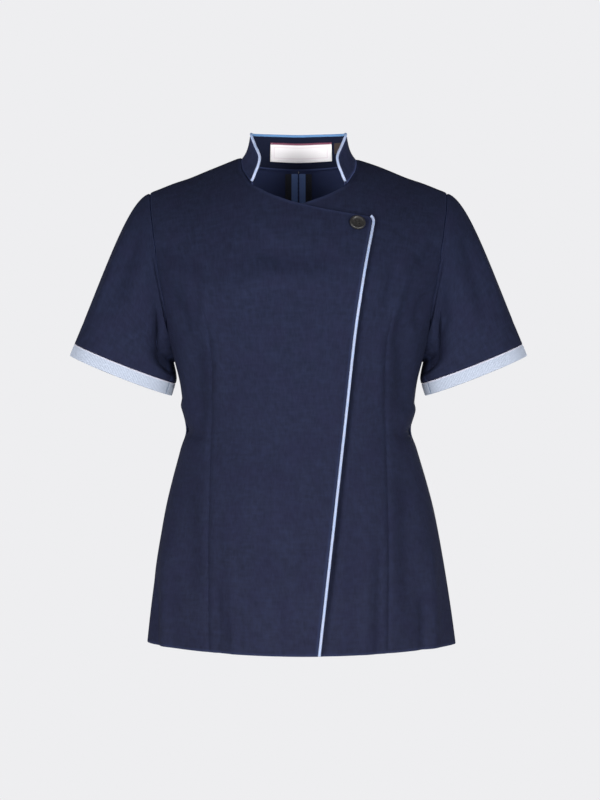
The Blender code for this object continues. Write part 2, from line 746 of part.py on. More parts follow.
def patch(name, grid, normals, area, colour):
    """A small label lying on the inside of the collar's back, made from the collar's own points."""
    middle = COLLAR_COLUMNS

    def collar_at(x, height):
        row = int(np.searchsorted(COLLAR_HEIGHTS, height, side="right")) - 1
        row = min(row, len(COLLAR_HEIGHTS) - 2)
        part = (height - COLLAR_HEIGHTS[row]) / (COLLAR_HEIGHTS[row + 1] - COLLAR_HEIGHTS[row])
        span = slice(middle - 10, middle + 11)
        line = [low + (high - low) * part for low, high in zip(grid[row][span], grid[row + 1][span])]
        ways = normals[row][span]
        xs = [p[0] for p in line]
        place = np.array([np.interp(x, xs, [p[axis] for p in line]) for axis in range(3)])
        return place, unit(np.array([np.interp(x, xs, [n[axis] for n in ways]) for axis in range(3)]))

    steps = max(2, round((area.x_high - area.x_low) / PATCH_COLUMN))
    outer, inner = [], []
    for r in range(PATCH_ROWS):
        height = area.height_low + (area.height_high - area.height_low) * r / (PATCH_ROWS - 1)
        for c in range(steps + 1):
            place, normal = collar_at(area.x_low + (area.x_high - area.x_low) * c / steps, height)
            back = place - normal * (COLLAR_CLOTH + TRIM_GAP)
            outer.append(back)
            inner.append(back - normal * LABEL_CLOTH)
    points, faces = wall(outer, inner, grid_faces(PATCH_ROWS, steps + 1, False))
    return add_solid(name, points, faces, colour, 0.6)


def button():
    """A round four-hole button with a raised rim, lying on the right front near its top corner."""
    s, t = on_body(BUTTON_X, BUTTON_Z, FRONT)
    seat, out = body_point(s, t, FRONT), body_normal(s, t, FRONT)
    seat = seat + out * (CLOTH + LAP_GAP + BUTTON_SEAT)
    across = unit(np.cross(np.array((0.0, 0.0, 1.0)), out))
    up = np.cross(out, across)
    points = [seat]
    for turn in BUTTON_PROFILE:
        for k in range(BUTTON_SIDES):
            angle = 2 * math.pi * k / BUTTON_SIDES
            points.append(seat + out * turn.height
                          + (across * math.cos(angle) + up * math.sin(angle)) * turn.radius)
    rings = len(BUTTON_PROFILE)
    faces = [[1 + i for i in face] for face in grid_faces(rings, BUTTON_SIDES, True)]
    faces += [[0, 1 + (k + 1) % BUTTON_SIDES, 1 + k] for k in range(BUTTON_SIDES)]
    points.append(seat + out * BUTTON_PROFILE[-1].height)
    top = len(points) - 1
    first = 1 + (rings - 1) * BUTTON_SIDES
    faces += [[top, first + k, first + (k + 1) % BUTTON_SIDES] for k in range(BUTTON_SIDES)]
    body = add_solid("button", points, faces, BUTTON_BROWN, 0.4)
    for i, (a, b) in enumerate(((1, 1), (1, -1), (-1, 1), (-1, -1))):
        centre = seat + (across * a + up * b) * BUTTON_HOLE_OFFSET + out * BUTTON_HOLE_MIDDLE
        bpy.ops.mesh.primitive_cylinder_add(vertices=8, radius=BUTTON_HOLE_RADIUS * MM,
                                            depth=BUTTON_HOLE_LENGTH * MM, location=tuple(centre * MM))
        cutter = bpy.context.object
        cutter.name = f"button_hole_{i + 1}"
        cutter.rotation_mode = "QUATERNION"
        cutter.rotation_quaternion = Vector(tuple(out)).to_track_quat("Z", "Y")
        cutter.hide_render = True
        cutter.display_type = "WIRE"
        cut = body.modifiers.new(cutter.name, "BOOLEAN")
        cut.operation = "DIFFERENCE"
        cut.solver = "EXACT"
        cut.object = cutter
    return body


def main():
    """Builds every piece of the blouse."""
    for thing in list(bpy.data.objects):
        bpy.data.objects.remove(thing, do_unlink=True)
    panel("front_right", front_outline(-1, LAP_TOP, LAP_CORNER, LAP_EDGE), -1, FRONT, True)
    panel("front_left", front_outline(1, UNDERLAP_TOP, (), UNDERLAP_EDGE), 1, FRONT, False)
    panel("back_right", back_outline(-1), -1, BACK, False)
    panel("back_left", back_outline(1), 1, BACK, False)
    for side_name, sign in (("right", -1), ("left", 1)):
        sleeve(f"sleeve_{side_name}", sign)
        cuff(f"cuff_{side_name}", sign)
    grid, normals = collar_parts()
    points, faces = grid_wall(grid, normals, False, COLLAR_CLOTH)
    add_solid("collar", points, faces, NAVY, 0.75)
    collar_piping(grid, normals)
    front_piping()
    patch("neck_label", grid, normals, LABEL_PATCH, LABEL_WHITE)
    patch("size_tab", grid, normals, TAB_PATCH, NAVY)
    button()


main()
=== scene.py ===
"""Looks of a short-sleeved wrap-front housekeeping blouse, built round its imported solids.

Every cut piece is a thin shell on the form of its solid, with its creases, seams, weave and stitching. The
blouse's tables are in millimetres. The sidebar's sizes, the flat sizes, the lamps and the camera are in
metres, as Blender has them. X runs across the shoulders with the wearer's left at +X, -Y is the front and +Z
is up.
"""

import math
from collections import namedtuple

import bmesh
import bpy
import numpy as np
from bpy.props import FloatProperty, FloatVectorProperty, IntProperty, PointerProperty
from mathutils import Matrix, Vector
from mathutils.geometry import delaunay_2d_cdt


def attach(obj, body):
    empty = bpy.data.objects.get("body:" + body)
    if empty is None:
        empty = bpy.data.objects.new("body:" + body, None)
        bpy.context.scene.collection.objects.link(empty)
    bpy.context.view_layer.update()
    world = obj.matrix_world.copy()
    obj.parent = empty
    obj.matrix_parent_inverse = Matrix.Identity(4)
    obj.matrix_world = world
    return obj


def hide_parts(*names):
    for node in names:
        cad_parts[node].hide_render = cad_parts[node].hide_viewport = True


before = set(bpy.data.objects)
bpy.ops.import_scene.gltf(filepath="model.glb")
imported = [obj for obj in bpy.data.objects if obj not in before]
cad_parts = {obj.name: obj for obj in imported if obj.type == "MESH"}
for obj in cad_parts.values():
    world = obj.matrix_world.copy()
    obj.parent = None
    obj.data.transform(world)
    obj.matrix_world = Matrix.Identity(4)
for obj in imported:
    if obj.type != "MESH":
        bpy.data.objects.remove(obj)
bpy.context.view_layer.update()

bl_info = {
    "name": "Housekeeping blouse",
    "version": (1, 0, 0),
    "blender": (4, 5, 0),
    "location": "3D View > Sidebar > Blouse",
    "description": "Builds the cloth, trims, button and studio of a wrap-front housekeeping blouse",
    "category": "Add Mesh",
}

MM = 0.001
BODY = "root"

# Body form, as the solids have it
HEM_Z = -617.5
HEM_DROP = 3.5
HEM_TILT = 1.1
WAIST_Z = -343.0
UNDERARM_Z = -238.0
BUST_Z = -165.0
SHOULDER_Y = 6.0
NECK_X = 74.0
SHOULDER_TIP_X = 194.0
HEM_LEAN = 3.8
BUST_X = 98.0
BUST_RISE = 9.0
BUST_SPREAD_X = 50.0
BUST_SPREAD_Z = 45.0

# Pattern plane: a quarter girth across, and the run from bust level up to the shoulder seam
QUARTER = 230.0
YOKE = 200.0
FRONT = -1
BACK = 1
YOKE_POWER = {FRONT: 1.75, BACK: 0.62}
SIDES = (("right", -1), ("left", 1))

# Spacing of the cloth's mesh, and how finely its forms are worked out
STEP = 4.2
EDGE_STEP = 4.0
NECK_STEP = 2.8
FACING_STEP = 20.0
CORNER_SHARE = 0.4
RINGS = (1.1, 2.9)
RING_ROOM = 0.8
EDGE_ROOM = 0.45
DART_ROOM = 0.4
DART_COLUMNS = (-5.2, -2.6, -1.1, 0.0, 1.1, 2.6, 5.2)
ARMHOLE_STEPS = 44
CURVE_PARTS = 16
NORMAL_STEP = 0.6
POINTS_AT_ONCE = 1500
TINY = 1e-9

# Seams and edges: depth and spread of their relief, and how far they fade or blend into the cloth
SEAM_DEPTH = 0.9
SEAM_SPREAD = 1.5
FOLD_DEPTH = 0.25
EDGE_ROUND = 0.42
SEAM_GAP = 0.03
SEAM_BLEND = 6.0
# How far the painted highlight along seams and edges spreads into the cloth
EDGE_SHADING_SPREAD = 5.0
SIDE_STRETCH = 1
ARMHOLE_STRETCH = 2
SIDE_SEAM_FADE = 20.0
ARMHOLE_FADE = 35.0

# Creases: spacing of their points, and the shares of their length where they rise and start to fade
CREASE_STEP = 12.0
CREASE_RISE = 0.3
CREASE_FADE = 0.75

# Darts
DART_PINCH = 1.6
DART_SPREAD = 4.0
DART_FADE = 60.0
DART_TIP = 8.0
DART_LINE_DEPTH = 0.95
DART_LINE_SPREAD = 0.9
BACK_DART_X = 84.0
BACK_DART_TOP = -215.0
BACK_DART_END = -520.0

# Lap of the right front over the left, and the facing behind its edge
LAP_START_X = -110.0
LAP_FULL_X = -55.0
LAP_STAND = 3.0
FACING_WIDTH = 37.0
FACING_DEPTH = 0.45
FACING_HEM_DEPTH = 1.3
FACING_HEM_START = -520.0
FACING_HEM_FULL = -600.0
FACING_SPREAD = 2.6

# Sleeves and cuffs
SLEEVE_TILT = math.radians(21.5)
SLEEVE_COLUMNS = 192
SLEEVE_ROUND = 400.0
SLEEVE_LENGTH = 190.0
SLEEVE_SEAM_TURN = 26.0
SLEEVE_HEM = 21.0
SLEEVE_HEM_DEPTH = 0.5
SLEEVE_HEM_SPREAD = 1.6
SLEEVE_BLEND = 7.0
SLEEVE_LIKENESS = -0.6
CUFF_SEAM_X = 225.3
CUFF_SEAM_Z = -254.7
CUFF_HALF_WIDTH = 70.4
CUFF_HALF_DEPTH = 50.0
CUFF_POWER = 2.2
CUFF_DROP = 15.8
CUFF_SAG = 2.3
CUFF_OUT = 5.5
CUFF_FLARE = 0.6
CUFF_TUCK = 0.45
CUFF_TUCK_SPREAD = 1.8
CUFF_COLUMNS = 1080
CUFF_TOP_ROWS = (0.0, 0.8, 2.0)
CUFF_MIDDLE_ROWS = 5
CUFF_MIDDLE_START = 4.0
CUFF_MIDDLE_END = 2.5
CUFF_LAST_ROW = 1.0
CUFF_SEAM_DEPTH = 0.6
CUFF_SEAM_SPREAD = 1.1

# Collar and the piping on it
COLLAR_COLUMNS = 160
COLLAR_ROWS = 17
COLLAR_SAG = 1.3
COLLAR_SAG_HEIGHT = 30.0
COLLAR_SEAT = 0.6
COLLAR_FOOT = 0.05
COLLAR_SOLID = 2.2
COLLAR_EDGE_DEPTH = SEAM_DEPTH / 2
COLLAR_PIPING_RADIUS = 1.7
COLLAR_PIPING_SINK = 0.45
NECK_CORD = 1.5
NECK_CORD_SINK = 0.1
NECK_CORD_ENDS = 3
NECK_CORD_SIDES = 10

# Piping down the lap's edge
PIPING_RADIUS = 1.75
PIPING_STAND = 2.85
PIPING_OUT = 0.1
PIPING_SIDES = 20

# Label and tab, and the stitches round the label
TRIM_GAP = 0.35
TRIM_CLOTH = 0.45
TRIM_COLUMNS = 48
TRIM_ROWS = 16
RIPPLE_HEIGHT = 0.12
RIPPLE_TURN = 9.0
LABEL_TALL = 25.4
LABEL_BORDER = 5.5
LABEL_BELLY = 0.25
TAB_BELLY = 0.2
STITCH_INSET = 1.6
STITCH_FOOT = 0.05
STITCH_HEAD = 0.03
STITCH_STAND = 0.75
STITCH_PLACES = 24

# Tints that multiply a cloth's colour: painted sheen, paler and greyer, at the hem; violet in cloudy patches;
# the paler wrong side, with painted light on the shaded inside; painted light on the collar, less on its
# inside;
# painted shade at the cuffs' seam; and painted shade on the front's piping
HEM_SHEEN_TINT = (1.50, 1.28, 1.12)
VIOLET_TINT = (1.25, 0.92, 1.06)
WRONG_SIDE_AND_LIGHT = 4.6
COLLAR_LIGHT_TINT = 1.5
COLLAR_INSIDE_TINT = 0.75
CUFF_SEAM_SHADE_TINT = (0.26, 0.38, 0.50)
FRONT_PIPING_SHADE = 0.70

# Places in y, in metres, between which piping turns from pale painted light to deeper blue painted shade. The
# front's lies wholly before its own.
COLLAR_PIPING_TURN = (-0.012, 0.012)
FRONT_PIPING_TURN = (1.0, 2.0)

# A wave texture's scale is this number over the distance between its lines
WAVE_TURN = 0.628

# Centre-back seam: its roll, and the allowances pressed open inside
SEAM_CORD = 0.6
SEAM_CORD_GAP = 0.1
SEAM_CORD_SIDES = 8
ALLOWANCE_WIDTH = 18.0
ALLOWANCE_CLOTH = 0.5
ALLOWANCE_REST = 0.8
ALLOWANCE_LIFT = 1.5
ALLOWANCE_CURL = 2.2
ALLOWANCE_WAVE = 0.35
ALLOWANCE_WAVE_RUN = 31.0
ALLOWANCE_STEP = 6.0
ALLOWANCE_COLUMNS = 10
OVERLOCK_WIDTH = 8.5
OVERLOCK_PITCH = 2.6
OVERLOCK_STAND = 0.15
OVERLOCK_SIDES = 5
OVERLOCK_LOOP = 1.2

# Button, and the thread across its holes
BUTTON_X = 73.6
BUTTON_Z = -81.2
BUTTON_STAND = 2.9
BUTTON_SIDES = 96
BUTTON_FLOOR = 2.55
BUTTON_CREASE = math.radians(50)
HOLE_RADIUS = 0.95
HOLE_OFFSET = 1.9
HOLE_SIDES = 20
HOLE_MIDDLE = 2.0
HOLE_DEPTH = 8.0
THREAD_LANES = (-0.28, 0.0, 0.28)
THREAD_ARCH = 0.35
THREAD_TURN = 0.85
THREAD_DIVE = 4.2
THREAD_PLACES = 9
THREAD_SIDES = 6

# Room, floor and camera. The back wall fades into the sides, and the sides into the ceiling, between these
# parts of a direction's y and z.
ROOM_SHADE = 0.6
CEILING_SHADE = 0.35
BACK_WALL = (0.93, 0.78)
CEILING = (0.25, 0.5)
FLOOR_SIDES = 128
CAMERA_X = 0.002
CAMERA_Z = -0.302
CAMERA_SENSOR = 36.0
CAMERA_REACH = 50.0

# Cross-sections of the body: the powers say how square each is across its width and through its depth
Level = namedtuple("Level", "z half_width front_depth back_depth width_power depth_power")
LEVELS = (
    Level(-625.0, 201.5, 126.0, 115.0, 1.93, 1.17),
    Level(-572.0, 195.0, 122.0, 112.0, 1.98, 1.28),
    Level(-510.0, 186.0, 116.0, 105.0, 2.08, 1.50),
    Level(-447.0, 175.0, 110.0, 95.0, 2.20, 1.80),
    Level(-406.0, 165.0, 104.5, 87.0, 2.24, 1.92),
    Level(-364.0, 153.0, 98.5, 79.5, 2.28, 2.02),
    Level(-343.0, 146.5, 97.0, 78.0, 2.30, 2.06),
    Level(-322.0, 149.0, 98.5, 79.5, 2.32, 2.10),
    Level(-281.0, 154.0, 106.0, 86.0, 2.35, 2.18),
    Level(-253.0, 160.5, 111.0, 91.0, 2.37, 2.22),
    Level(-224.0, 168.5, 116.0, 96.0, 2.38, 2.27),
    Level(-195.0, 177.0, 119.0, 100.0, 2.40, 2.30),
    Level(-165.0, 185.0, 119.0, 101.0, 2.40, 2.30),
)

Yoke = namedtuple("Yoke", "run half_width")
YOKE_WIDTHS = (
    Yoke(0.0, 185.0),
    Yoke(60.0, 203.0),
    Yoke(120.0, 216.0),
    Yoke(200.0, 225.0),
)

Shoulder = namedtuple("Shoulder", "x z")
SHOULDER_LINE = (
    Shoulder(0.0, 31.0),
    Shoulder(40.0, 21.0),
    Shoulder(77.0, 11.2),
    Shoulder(101.0, 3.5),
    Shoulder(120.0, -4.0),
    Shoulder(141.0, -12.7),
    Shoulder(163.0, -20.1),
    Shoulder(180.0, -26.9),
    Shoulder(194.0, -33.0),
    Shoulder(225.0, -56.0),
)

# Points that a cut edge passes through: x outwards on the piece's own side, below zero past the centre, and z
SCYE = {
    FRONT: ((188.0, -77.0), (183.5, -112.0), (177.5, -150.0), (172.0, -184.0), (168.5, -211.0)),
    BACK: ((190.5, -77.0), (187.5, -112.0), (183.0, -150.0), (177.0, -186.0), (169.5, -213.0)),
}
NECK_SEAM = {
    FRONT: ((72.7, -4.0), (66.0, -17.0), (62.0, -23.5), (59.5, -28.0)),
    BACK: ((66.0, 9.5), (50.0, 7.0), (26.0, 5.3), (0.0, 4.7)),
}
NECKLINE = ((38.0, -40.2), (19.0, -48.0), (0.0, -53.6))
LAP_TOP = ((-16.5, -58.3), (-47.4, -64.6), (-66.0, -67.6), (-88.4, -71.3))
LAP_CORNER = ((-88.4, -71.3), (-91.2, -73.4), (-92.3, -77.0))
LAP_EDGE = (
    (-91.9, -81.5),
    (-82.5, -129.0),
    (-74.8, -175.0),
    (-68.9, -215.0),
    (-63.4, -264.0),
    (-56.6, -330.0),
    (-44.3, -440.0),
    (-23.7, -620.5),
)
UNDERLAP_TOP = ((-20.0, -59.4), (-40.0, -65.0))
UNDERLAP_EDGE = ((-39.0, -120.0), (-20.0, -620.5))

# A front dart's line, and how strongly it shows
Dart = namedtuple("Dart", "z x line")
FRONT_DART = (
    Dart(-622.0, 113.8, 0.85),
    Dart(-500.0, 115.0, 1.25),
    Dart(-430.0, 113.8, 1.0),
    Dart(-363.0, 112.3, 0.35),
    Dart(-290.0, 109.8, 0.55),
    Dart(-249.0, 110.5, 0.9),
    Dart(-181.0, 118.7, 0.8),
)

# How the sleeve leaves the armhole and arrives at the cuff, by the angle round it from the underarm
Leave = namedtuple("Leave", "angle out forward up pull tilt")
SLEEVE_LEAVES = (
    Leave(0.0, 3.0, 0.0, -26.0, 42.0, 26.0),
    Leave(45.0, 22.0, 2.0, -38.0, 70.0, 23.0),
    Leave(90.0, 45.0, 8.0, -55.0, 160.0, 21.5),
    Leave(135.0, 72.0, 5.0, -30.0, 250.0, 22.0),
    Leave(180.0, 86.5, 0.0, -22.0, 280.0, 23.1),
)

# Collar stand, from the centre back round to its front end
Stand = namedtuple("Stand", "side base_x base_z top_x top_y top_z")
COLLAR_STANDS = (
    Stand(BACK, 0.0, 4.7, 0.0, 58.0, 46.7),
    Stand(BACK, 26.0, 5.3, 24.0, 55.0, 46.8),
    Stand(BACK, 50.0, 7.0, 44.5, 43.0, 46.0),
    Stand(BACK, 66.0, 9.5, 59.5, 23.0, 44.4),
    Stand(BACK, 74.0, None, 62.8, 1.0, 42.0),
    Stand(FRONT, 72.7, -4.0, 57.5, -17.0, 26.5),
    Stand(FRONT, 66.0, -17.0, 51.6, -36.0, 10.5),
    Stand(FRONT, 62.0, -23.5, 52.8, -45.0, -1.0),
    Stand(FRONT, 60.2, -26.5, 57.2, -51.5, -13.5),
    Stand(FRONT, 59.5, -28.0, 60.2, -55.0, -23.5),
)

# Label and tab inside the collar's back, their heights as shares of the collar's
Patch = namedtuple("Patch", "x_low x_high height_low height_high")
LABEL_PATCH = Patch(-38.5, 45.5, 0.20, 0.81)
TAB_PATCH = Patch(48.8, 59.0, 0.42, 0.78)

# Creases of the body: spread, height and the points that each passes through, by the model's x and z. A
# trough has a height below zero.
FRONT_CREASES = (
    (16.0, 4.8, (-118, -170), (-60, -160), (0, -154), (62, -160)),
    (15.0, -3.2, (-108, -132), (-50, -122), (10, -120), (66, -126)),
    (13.0, -7.5, (-128, -212), (-131, -250), (-130, -300), (-124, -345)),
    (8.0, 3.5, (-114, -140), (-117, -178), (-121, -222)),
    (8.0, 2.9, (-99, -210), (-101, -260), (-103, -320)),
    (16.0, -6.2, (-138, -365), (-142, -430), (-140, -500), (-138, -570)),
    (4.0, -4.0, (-104, -520), (-101, -565), (-99, -650)),
    (3.6, -2.9, (-93, -560), (-90, -600), (-89, -650)),
    (7.0, 2.2, (-91, -430), (-86, -500), (-82, -560), (-80, -650)),
    (9.0, 4.8, (-168, -470), (-172, -530), (-172, -590), (-174, -650)),
    (5.0, -3.1, (-181, -520), (-182, -575), (-181, -650)),
    (12.0, -7.9, (127, -180), (131, -225), (135, -272), (131, -330)),
    (7.0, 4.0, (146, -122), (132, -152), (121, -190), (116, -232)),
    (7.0, -3.8, (128, -128), (118, -158), (108, -192)),
    (7.0, 2.6, (100, -216), (101, -262), (103, -320)),
    (14.0, -5.7, (134, -360), (139, -430), (140, -500), (142, -580)),
    (4.0, -3.2, (104, -470), (102, -540), (101, -650)),
    (7.0, 2.5, (90, -440), (87, -510), (84, -650)),
    (8.0, 4.4, (166, -470), (171, -530), (173, -590), (174, -650)),
    (5.0, -3.1, (157, -540), (159, -580), (160, -650)),
    (9.0, -4.8, (-188, -96), (-166, -108), (-146, -122), (-124, -146)),
    (10.0, 4.0, (-182, -130), (-158, -142), (-140, -160), (-124, -184)),
    (8.0, -4.4, (-174, -160), (-158, -176), (-146, -198), (-140, -224)),
    (9.0, -4.4, (186, -98), (166, -112), (147, -132)),
    (8.0, -4.0, (172, -158), (156, -184), (147, -214)),
    (6.0, -4.0, (-160, -334), (-141, -343), (-118, -349)),
    (6.0, -3.8, (160, -338), (141, -345), (120, -346)),
    (8.0, 3.1, (-156, -300), (-142, -316), (-126, -326)),
    (8.0, 2.9, (156, -306), (143, -320), (129, -328)),
    (14.0, -3.5, (-66, -296), (-42, -340), (-28, -400)),
    (9.0, -2.9, (6, -360), (11, -430), (12, -520), (11, -640)),
    (13.0, 2.6, (-24, -380), (-26, -470), (-24, -560)),
    (14.0, -2.6, (64, -400), (70, -480), (70, -570)),
    (12.0, -2.2, (-60, -84), (-40, -110), (-14, -124)),
    (11.0, 2.2, (-70, -120), (-40, -142), (0, -150)),
)
# Troughs that the left front alone has, along the lap's edge over it
LAP_TROUGHS = (
    (5.0, -5.5, *((5.0 - x, z) for x, z in LAP_EDGE)),
    (9.0, -3.0, (52, -420), (45, -500), (38, -570), (35, -650)),
)
BACK_CREASES = (
    (5.0, -2.3, (-72, -440), (-76, -500), (-79, -560), (-80, -640)),
    (8.0, 1.7, (-98, -420), (-104, -500), (-108, -640)),
    (5.5, -2.5, (70, -455), (75, -520), (77, -640)),
    (8.0, 1.5, (99, -440), (104, -520), (107, -640)),
    (12.0, -2.5, (-176, -120), (-150, -150), (-122, -190), (-104, -232)),
    (11.0, 1.9, (-182, -92), (-156, -112), (-124, -146)),
    (12.0, -2.3, (176, -128), (152, -156), (126, -196), (108, -226)),
    (10.0, 1.7, (181, -98), (154, -122), (128, -152)),
    (7.0, -2.1, (-148, -336), (-120, -345), (-92, -344)),
    (7.0, -1.9, (148, -344), (122, -350), (98, -346)),
    (9.0, -1.9, (-56, -330), (-30, -338), (-10, -333)),
    (10.0, 1.5, (60, -318), (34, -326), (12, -320)),
    (6.0, -1.9, (-172, -480), (-175, -540), (-178, -640)),
    (6.0, -1.9, (174, -500), (178, -560), (180, -640)),
)

# Creases of a sleeve: their points run round it from the underarm up the front, and down from the armhole
SLEEVE_CREASES = {
    -1: (
        (27.0, -15.0, (33, 20), (37, 66), (42, 120), (46, 168)),
        (12.0, -2.0, (72, 10), (80, 55), (88, 105), (94, 145)),
        (11.0, 2.7, (100, 30), (106, 80), (112, 130)),
        (12.0, -2.8, (136, 30), (134, 90), (138, 155)),
        (10.0, 2.2, (166, 50), (162, 110), (158, 170)),
        (12.0, -3.6, (262, 20), (256, 70), (248, 130)),
        (11.0, 2.7, (296, 30), (290, 80), (284, 120)),
        (10.0, -3.9, (338, 20), (330, 60), (318, 110)),
        (21.0, 14.0, (398, 2), (404, 32), (406, 80)),
        (6.5, -1.9, (12, 10), (50, 9), (90, 9), (140, 9)),
    ),
    1: (
        (27.0, -15.0, (32, 22), (36, 70), (41, 120), (45, 165)),
        (11.0, -3.2, (68, 12), (74, 60), (80, 120)),
        (11.0, 2.5, (98, 36), (108, 90), (116, 150)),
        (12.0, -2.7, (140, 40), (136, 110), (130, 160)),
        (10.0, 2.1, (172, 60), (168, 120), (160, 168)),
        (12.0, -3.3, (268, 30), (258, 80), (252, 126)),
        (12.0, 2.5, (300, 40), (292, 90), (280, 130)),
        (10.0, -3.8, (344, 24), (332, 70), (322, 104)),
        (21.0, 14.0, (398, 2), (404, 32), (406, 80)),
        (6.5, -1.9, (12, 10), (50, 9), (90, 9), (140, 9)),
    ),
}

# Turned profile of the button
Turn = namedtuple("Turn", "radius height")
BUTTON_PROFILE = (
    Turn(8.3, 0.0),
    Turn(9.4, 0.3),
    Turn(10.05, 1.0),
    Turn(10.2, 1.9),
    Turn(10.0, 2.8),
    Turn(9.5, 3.5),
    Turn(8.8, 3.85),
    Turn(8.0, 3.8),
    Turn(7.3, 3.35),
    Turn(6.5, 2.8),
    Turn(5.2, 2.6),
    Turn(4.0, BUTTON_FLOOR),
)

# Lamps of the studio, which are wide soft lights
Lamp = namedtuple("Lamp", "name place target width height")
LAMPS = (
    Lamp("right", (-1.5, -1.7, 0.25), (0.0, 0.0, -0.3), 0.7, 1.0),
    Lamp("right_low", (-1.1, -1.9, -1.0), (0.0, 0.0, -0.5), 0.7, 0.8),
    Lamp("left", (1.5, -1.7, 0.25), (0.0, 0.0, -0.3), 0.7, 1.0),
    Lamp("left_low", (1.1, -1.9, -1.0), (0.0, 0.0, -0.5), 0.7, 0.8),
    Lamp("level", (0.0, -2.4, -0.45), (0.0, 0.0, -0.35), 1.0, 0.9),
    Lamp("back", (0.3, 2.4, -0.3), (0.0, 0.0, -0.3), 1.4, 1.2),
)


def hermite(start, end, leave, arrive, part):
    """Cubic from start to end that leaves and arrives with the given speeds."""
    square, cube = part * part, part ** 3
    return ((2 * cube - 3 * square + 1) * start + (3 * square - 2 * cube) * end
            + (cube - 2 * square + part) * leave + (cube - square) * arrive)


def slopes_at(run, values):
    """How fast values rise at each of their places along a run, taken from the places beside it."""
    before = np.maximum(np.arange(len(run)) - 1, 0)
    after = np.minimum(np.arange(len(run)) + 1, len(run) - 1)
    return ((values[after] - values[before]).T / (run[after] - run[before])).T


def read(table, at, column):
    """Reads one column of a table at any places, on a smooth curve through its rows."""
    keys = np.array([row[0] for row in table])
    values = np.array([getattr(row, column) for row in table])
    slopes = slopes_at(keys, values)
    at = np.clip(at, keys[0], keys[-1])
    low = np.clip(np.searchsorted(keys, at, side="right") - 1, 0, len(keys) - 2)
    high = low + 1
    span = keys[high] - keys[low]
    part = (at - keys[low]) / span
    return hermite(values[low], values[high], slopes[low] * span, slopes[high] * span, part)


def lengths(points):
    """Distance along a row of points, from 0 at the first."""
    return np.concatenate(([0.0], np.cumsum(np.linalg.norm(np.diff(points, axis=0), axis=1))))


def curve_through(points, count):
    """Returns count + 1 evenly spaced points on a smooth curve through the given ones."""
    knots = np.array([tuple(p) for p in points], float)
    run = lengths(knots)
    slopes = slopes_at(run, knots)
    parts = np.linspace(0.0, 1.0, CURVE_PARTS, endpoint=False)[:, None]
    spans = []
    for i, span in enumerate(np.diff(run)):
        spans.append(hermite(knots[i], knots[i + 1], slopes[i] * span, slopes[i + 1] * span, parts))
    fine = np.vstack(spans + [knots[-1:]])
    wanted = np.linspace(0.0, lengths(fine)[-1], count + 1)
    return np.column_stack([np.interp(wanted, lengths(fine), fine[:, axis]) for axis in range(fine.shape[1])])


def curve_by_step(points, step):
    """Points about a step apart on a smooth curve through the given ones."""
    knots = np.array([tuple(p) for p in points], float)
    return curve_through(points, max(2, round(lengths(knots)[-1] / step)))


def smooth_step(low, high, at):
    """Rises from 0 to 1 between low and high, level at both ends."""
    part = np.clip((at - low) / (high - low), 0.0, 1.0)
    return part * part * (3.0 - 2.0 * part)


def bell(at, spread):
    """Falls from 1 at zero to next to nothing two spreads away."""
    return np.exp(-(at / spread) ** 2)


def unit(vectors):
    """The vectors at length 1."""
    return vectors / np.linalg.norm(vectors, axis=-1, keepdims=True)


def lean(z):
    """Sideways drift of the skirt below the waist."""
    return HEM_LEAN * np.clip((WAIST_Z - z) / (WAIST_Z - HEM_Z), 0.0, 1.0)


def half_width(t):
    """Half the body's width at heights in the pattern plane."""
    return np.where(t > 0.0, read(YOKE_WIDTHS, t, "half_width"), read(LEVELS, BUST_Z + t, "half_width"))


def section_power(t, column):
    """How square the body's cross-section is at heights in the pattern plane."""
    return read(LEVELS, BUST_Z + np.minimum(t, 0.0), column)


def body_point(s, t, side):
    """Outer face of the body: s runs round it from the centre, and t runs up it from the bust."""
    s, t = np.broadcast_arrays(np.asarray(s, float), np.asarray(t, float))
    angle = np.clip(np.abs(s) / QUARTER, 0.0, 1.0) * math.pi / 2
    x = np.sign(s) * half_width(t) * np.sin(angle) ** (2 / section_power(t, "width_power"))
    roundness = np.clip(np.cos(angle), 0.0, None) ** (2 / section_power(t, "depth_power"))
    low = BUST_Z + np.minimum(t, 0.0)
    lift = np.clip(t / YOKE, 0.0, 1.0) * math.pi / 2
    reach = np.clip(np.cos(lift), 0.0, None) ** YOKE_POWER[side]
    z = low + (read(SHOULDER_LINE, np.abs(x), "z") - BUST_Z) * np.sin(lift)
    depth = read(LEVELS, low, "front_depth" if side == FRONT else "back_depth")
    y = SHOULDER_Y + reach * (side * depth * roundness - SHOULDER_Y)
    if side == FRONT:
        across = (np.abs(x) - BUST_X) / BUST_SPREAD_X
        along = (z - BUST_Z) / BUST_SPREAD_Z
        y = y - BUST_RISE * np.exp(-across ** 2 - along ** 2) * roundness
    return np.stack((x + lean(z), y, z), axis=-1)


def face_normal(s, t, side):
    """Outward direction of the front's or back's outer face."""
    ahead = body_point(np.minimum(s + NORMAL_STEP, QUARTER), t, side)
    behind = body_point(np.maximum(s - NORMAL_STEP, -QUARTER), t, side)
    above = body_point(s, np.minimum(t + NORMAL_STEP, YOKE), side)
    below = body_point(s, t - NORMAL_STEP, side)
    return -side * unit(np.cross(ahead - behind, above - below))


def body_normal(s, t, side):
    """Outward direction of the body, shared by front and back along their side and shoulder seams."""
    normal = face_normal(s, t, side)
    other = face_normal(s, t, -side)
    edge = np.minimum(QUARTER - np.abs(s), YOKE - t)
    share = 0.5 * (1.0 - smooth_step(0.0, SEAM_BLEND, edge))[..., None]
    return unit(normal * (1.0 - share) + other * share)


def body_at(place, side):
    """Points and outward directions of the body at rows of pattern-plane places."""
    s, t = place[:, 0], place[:, 1]
    return body_point(s, t, side), body_normal(s, t, side)


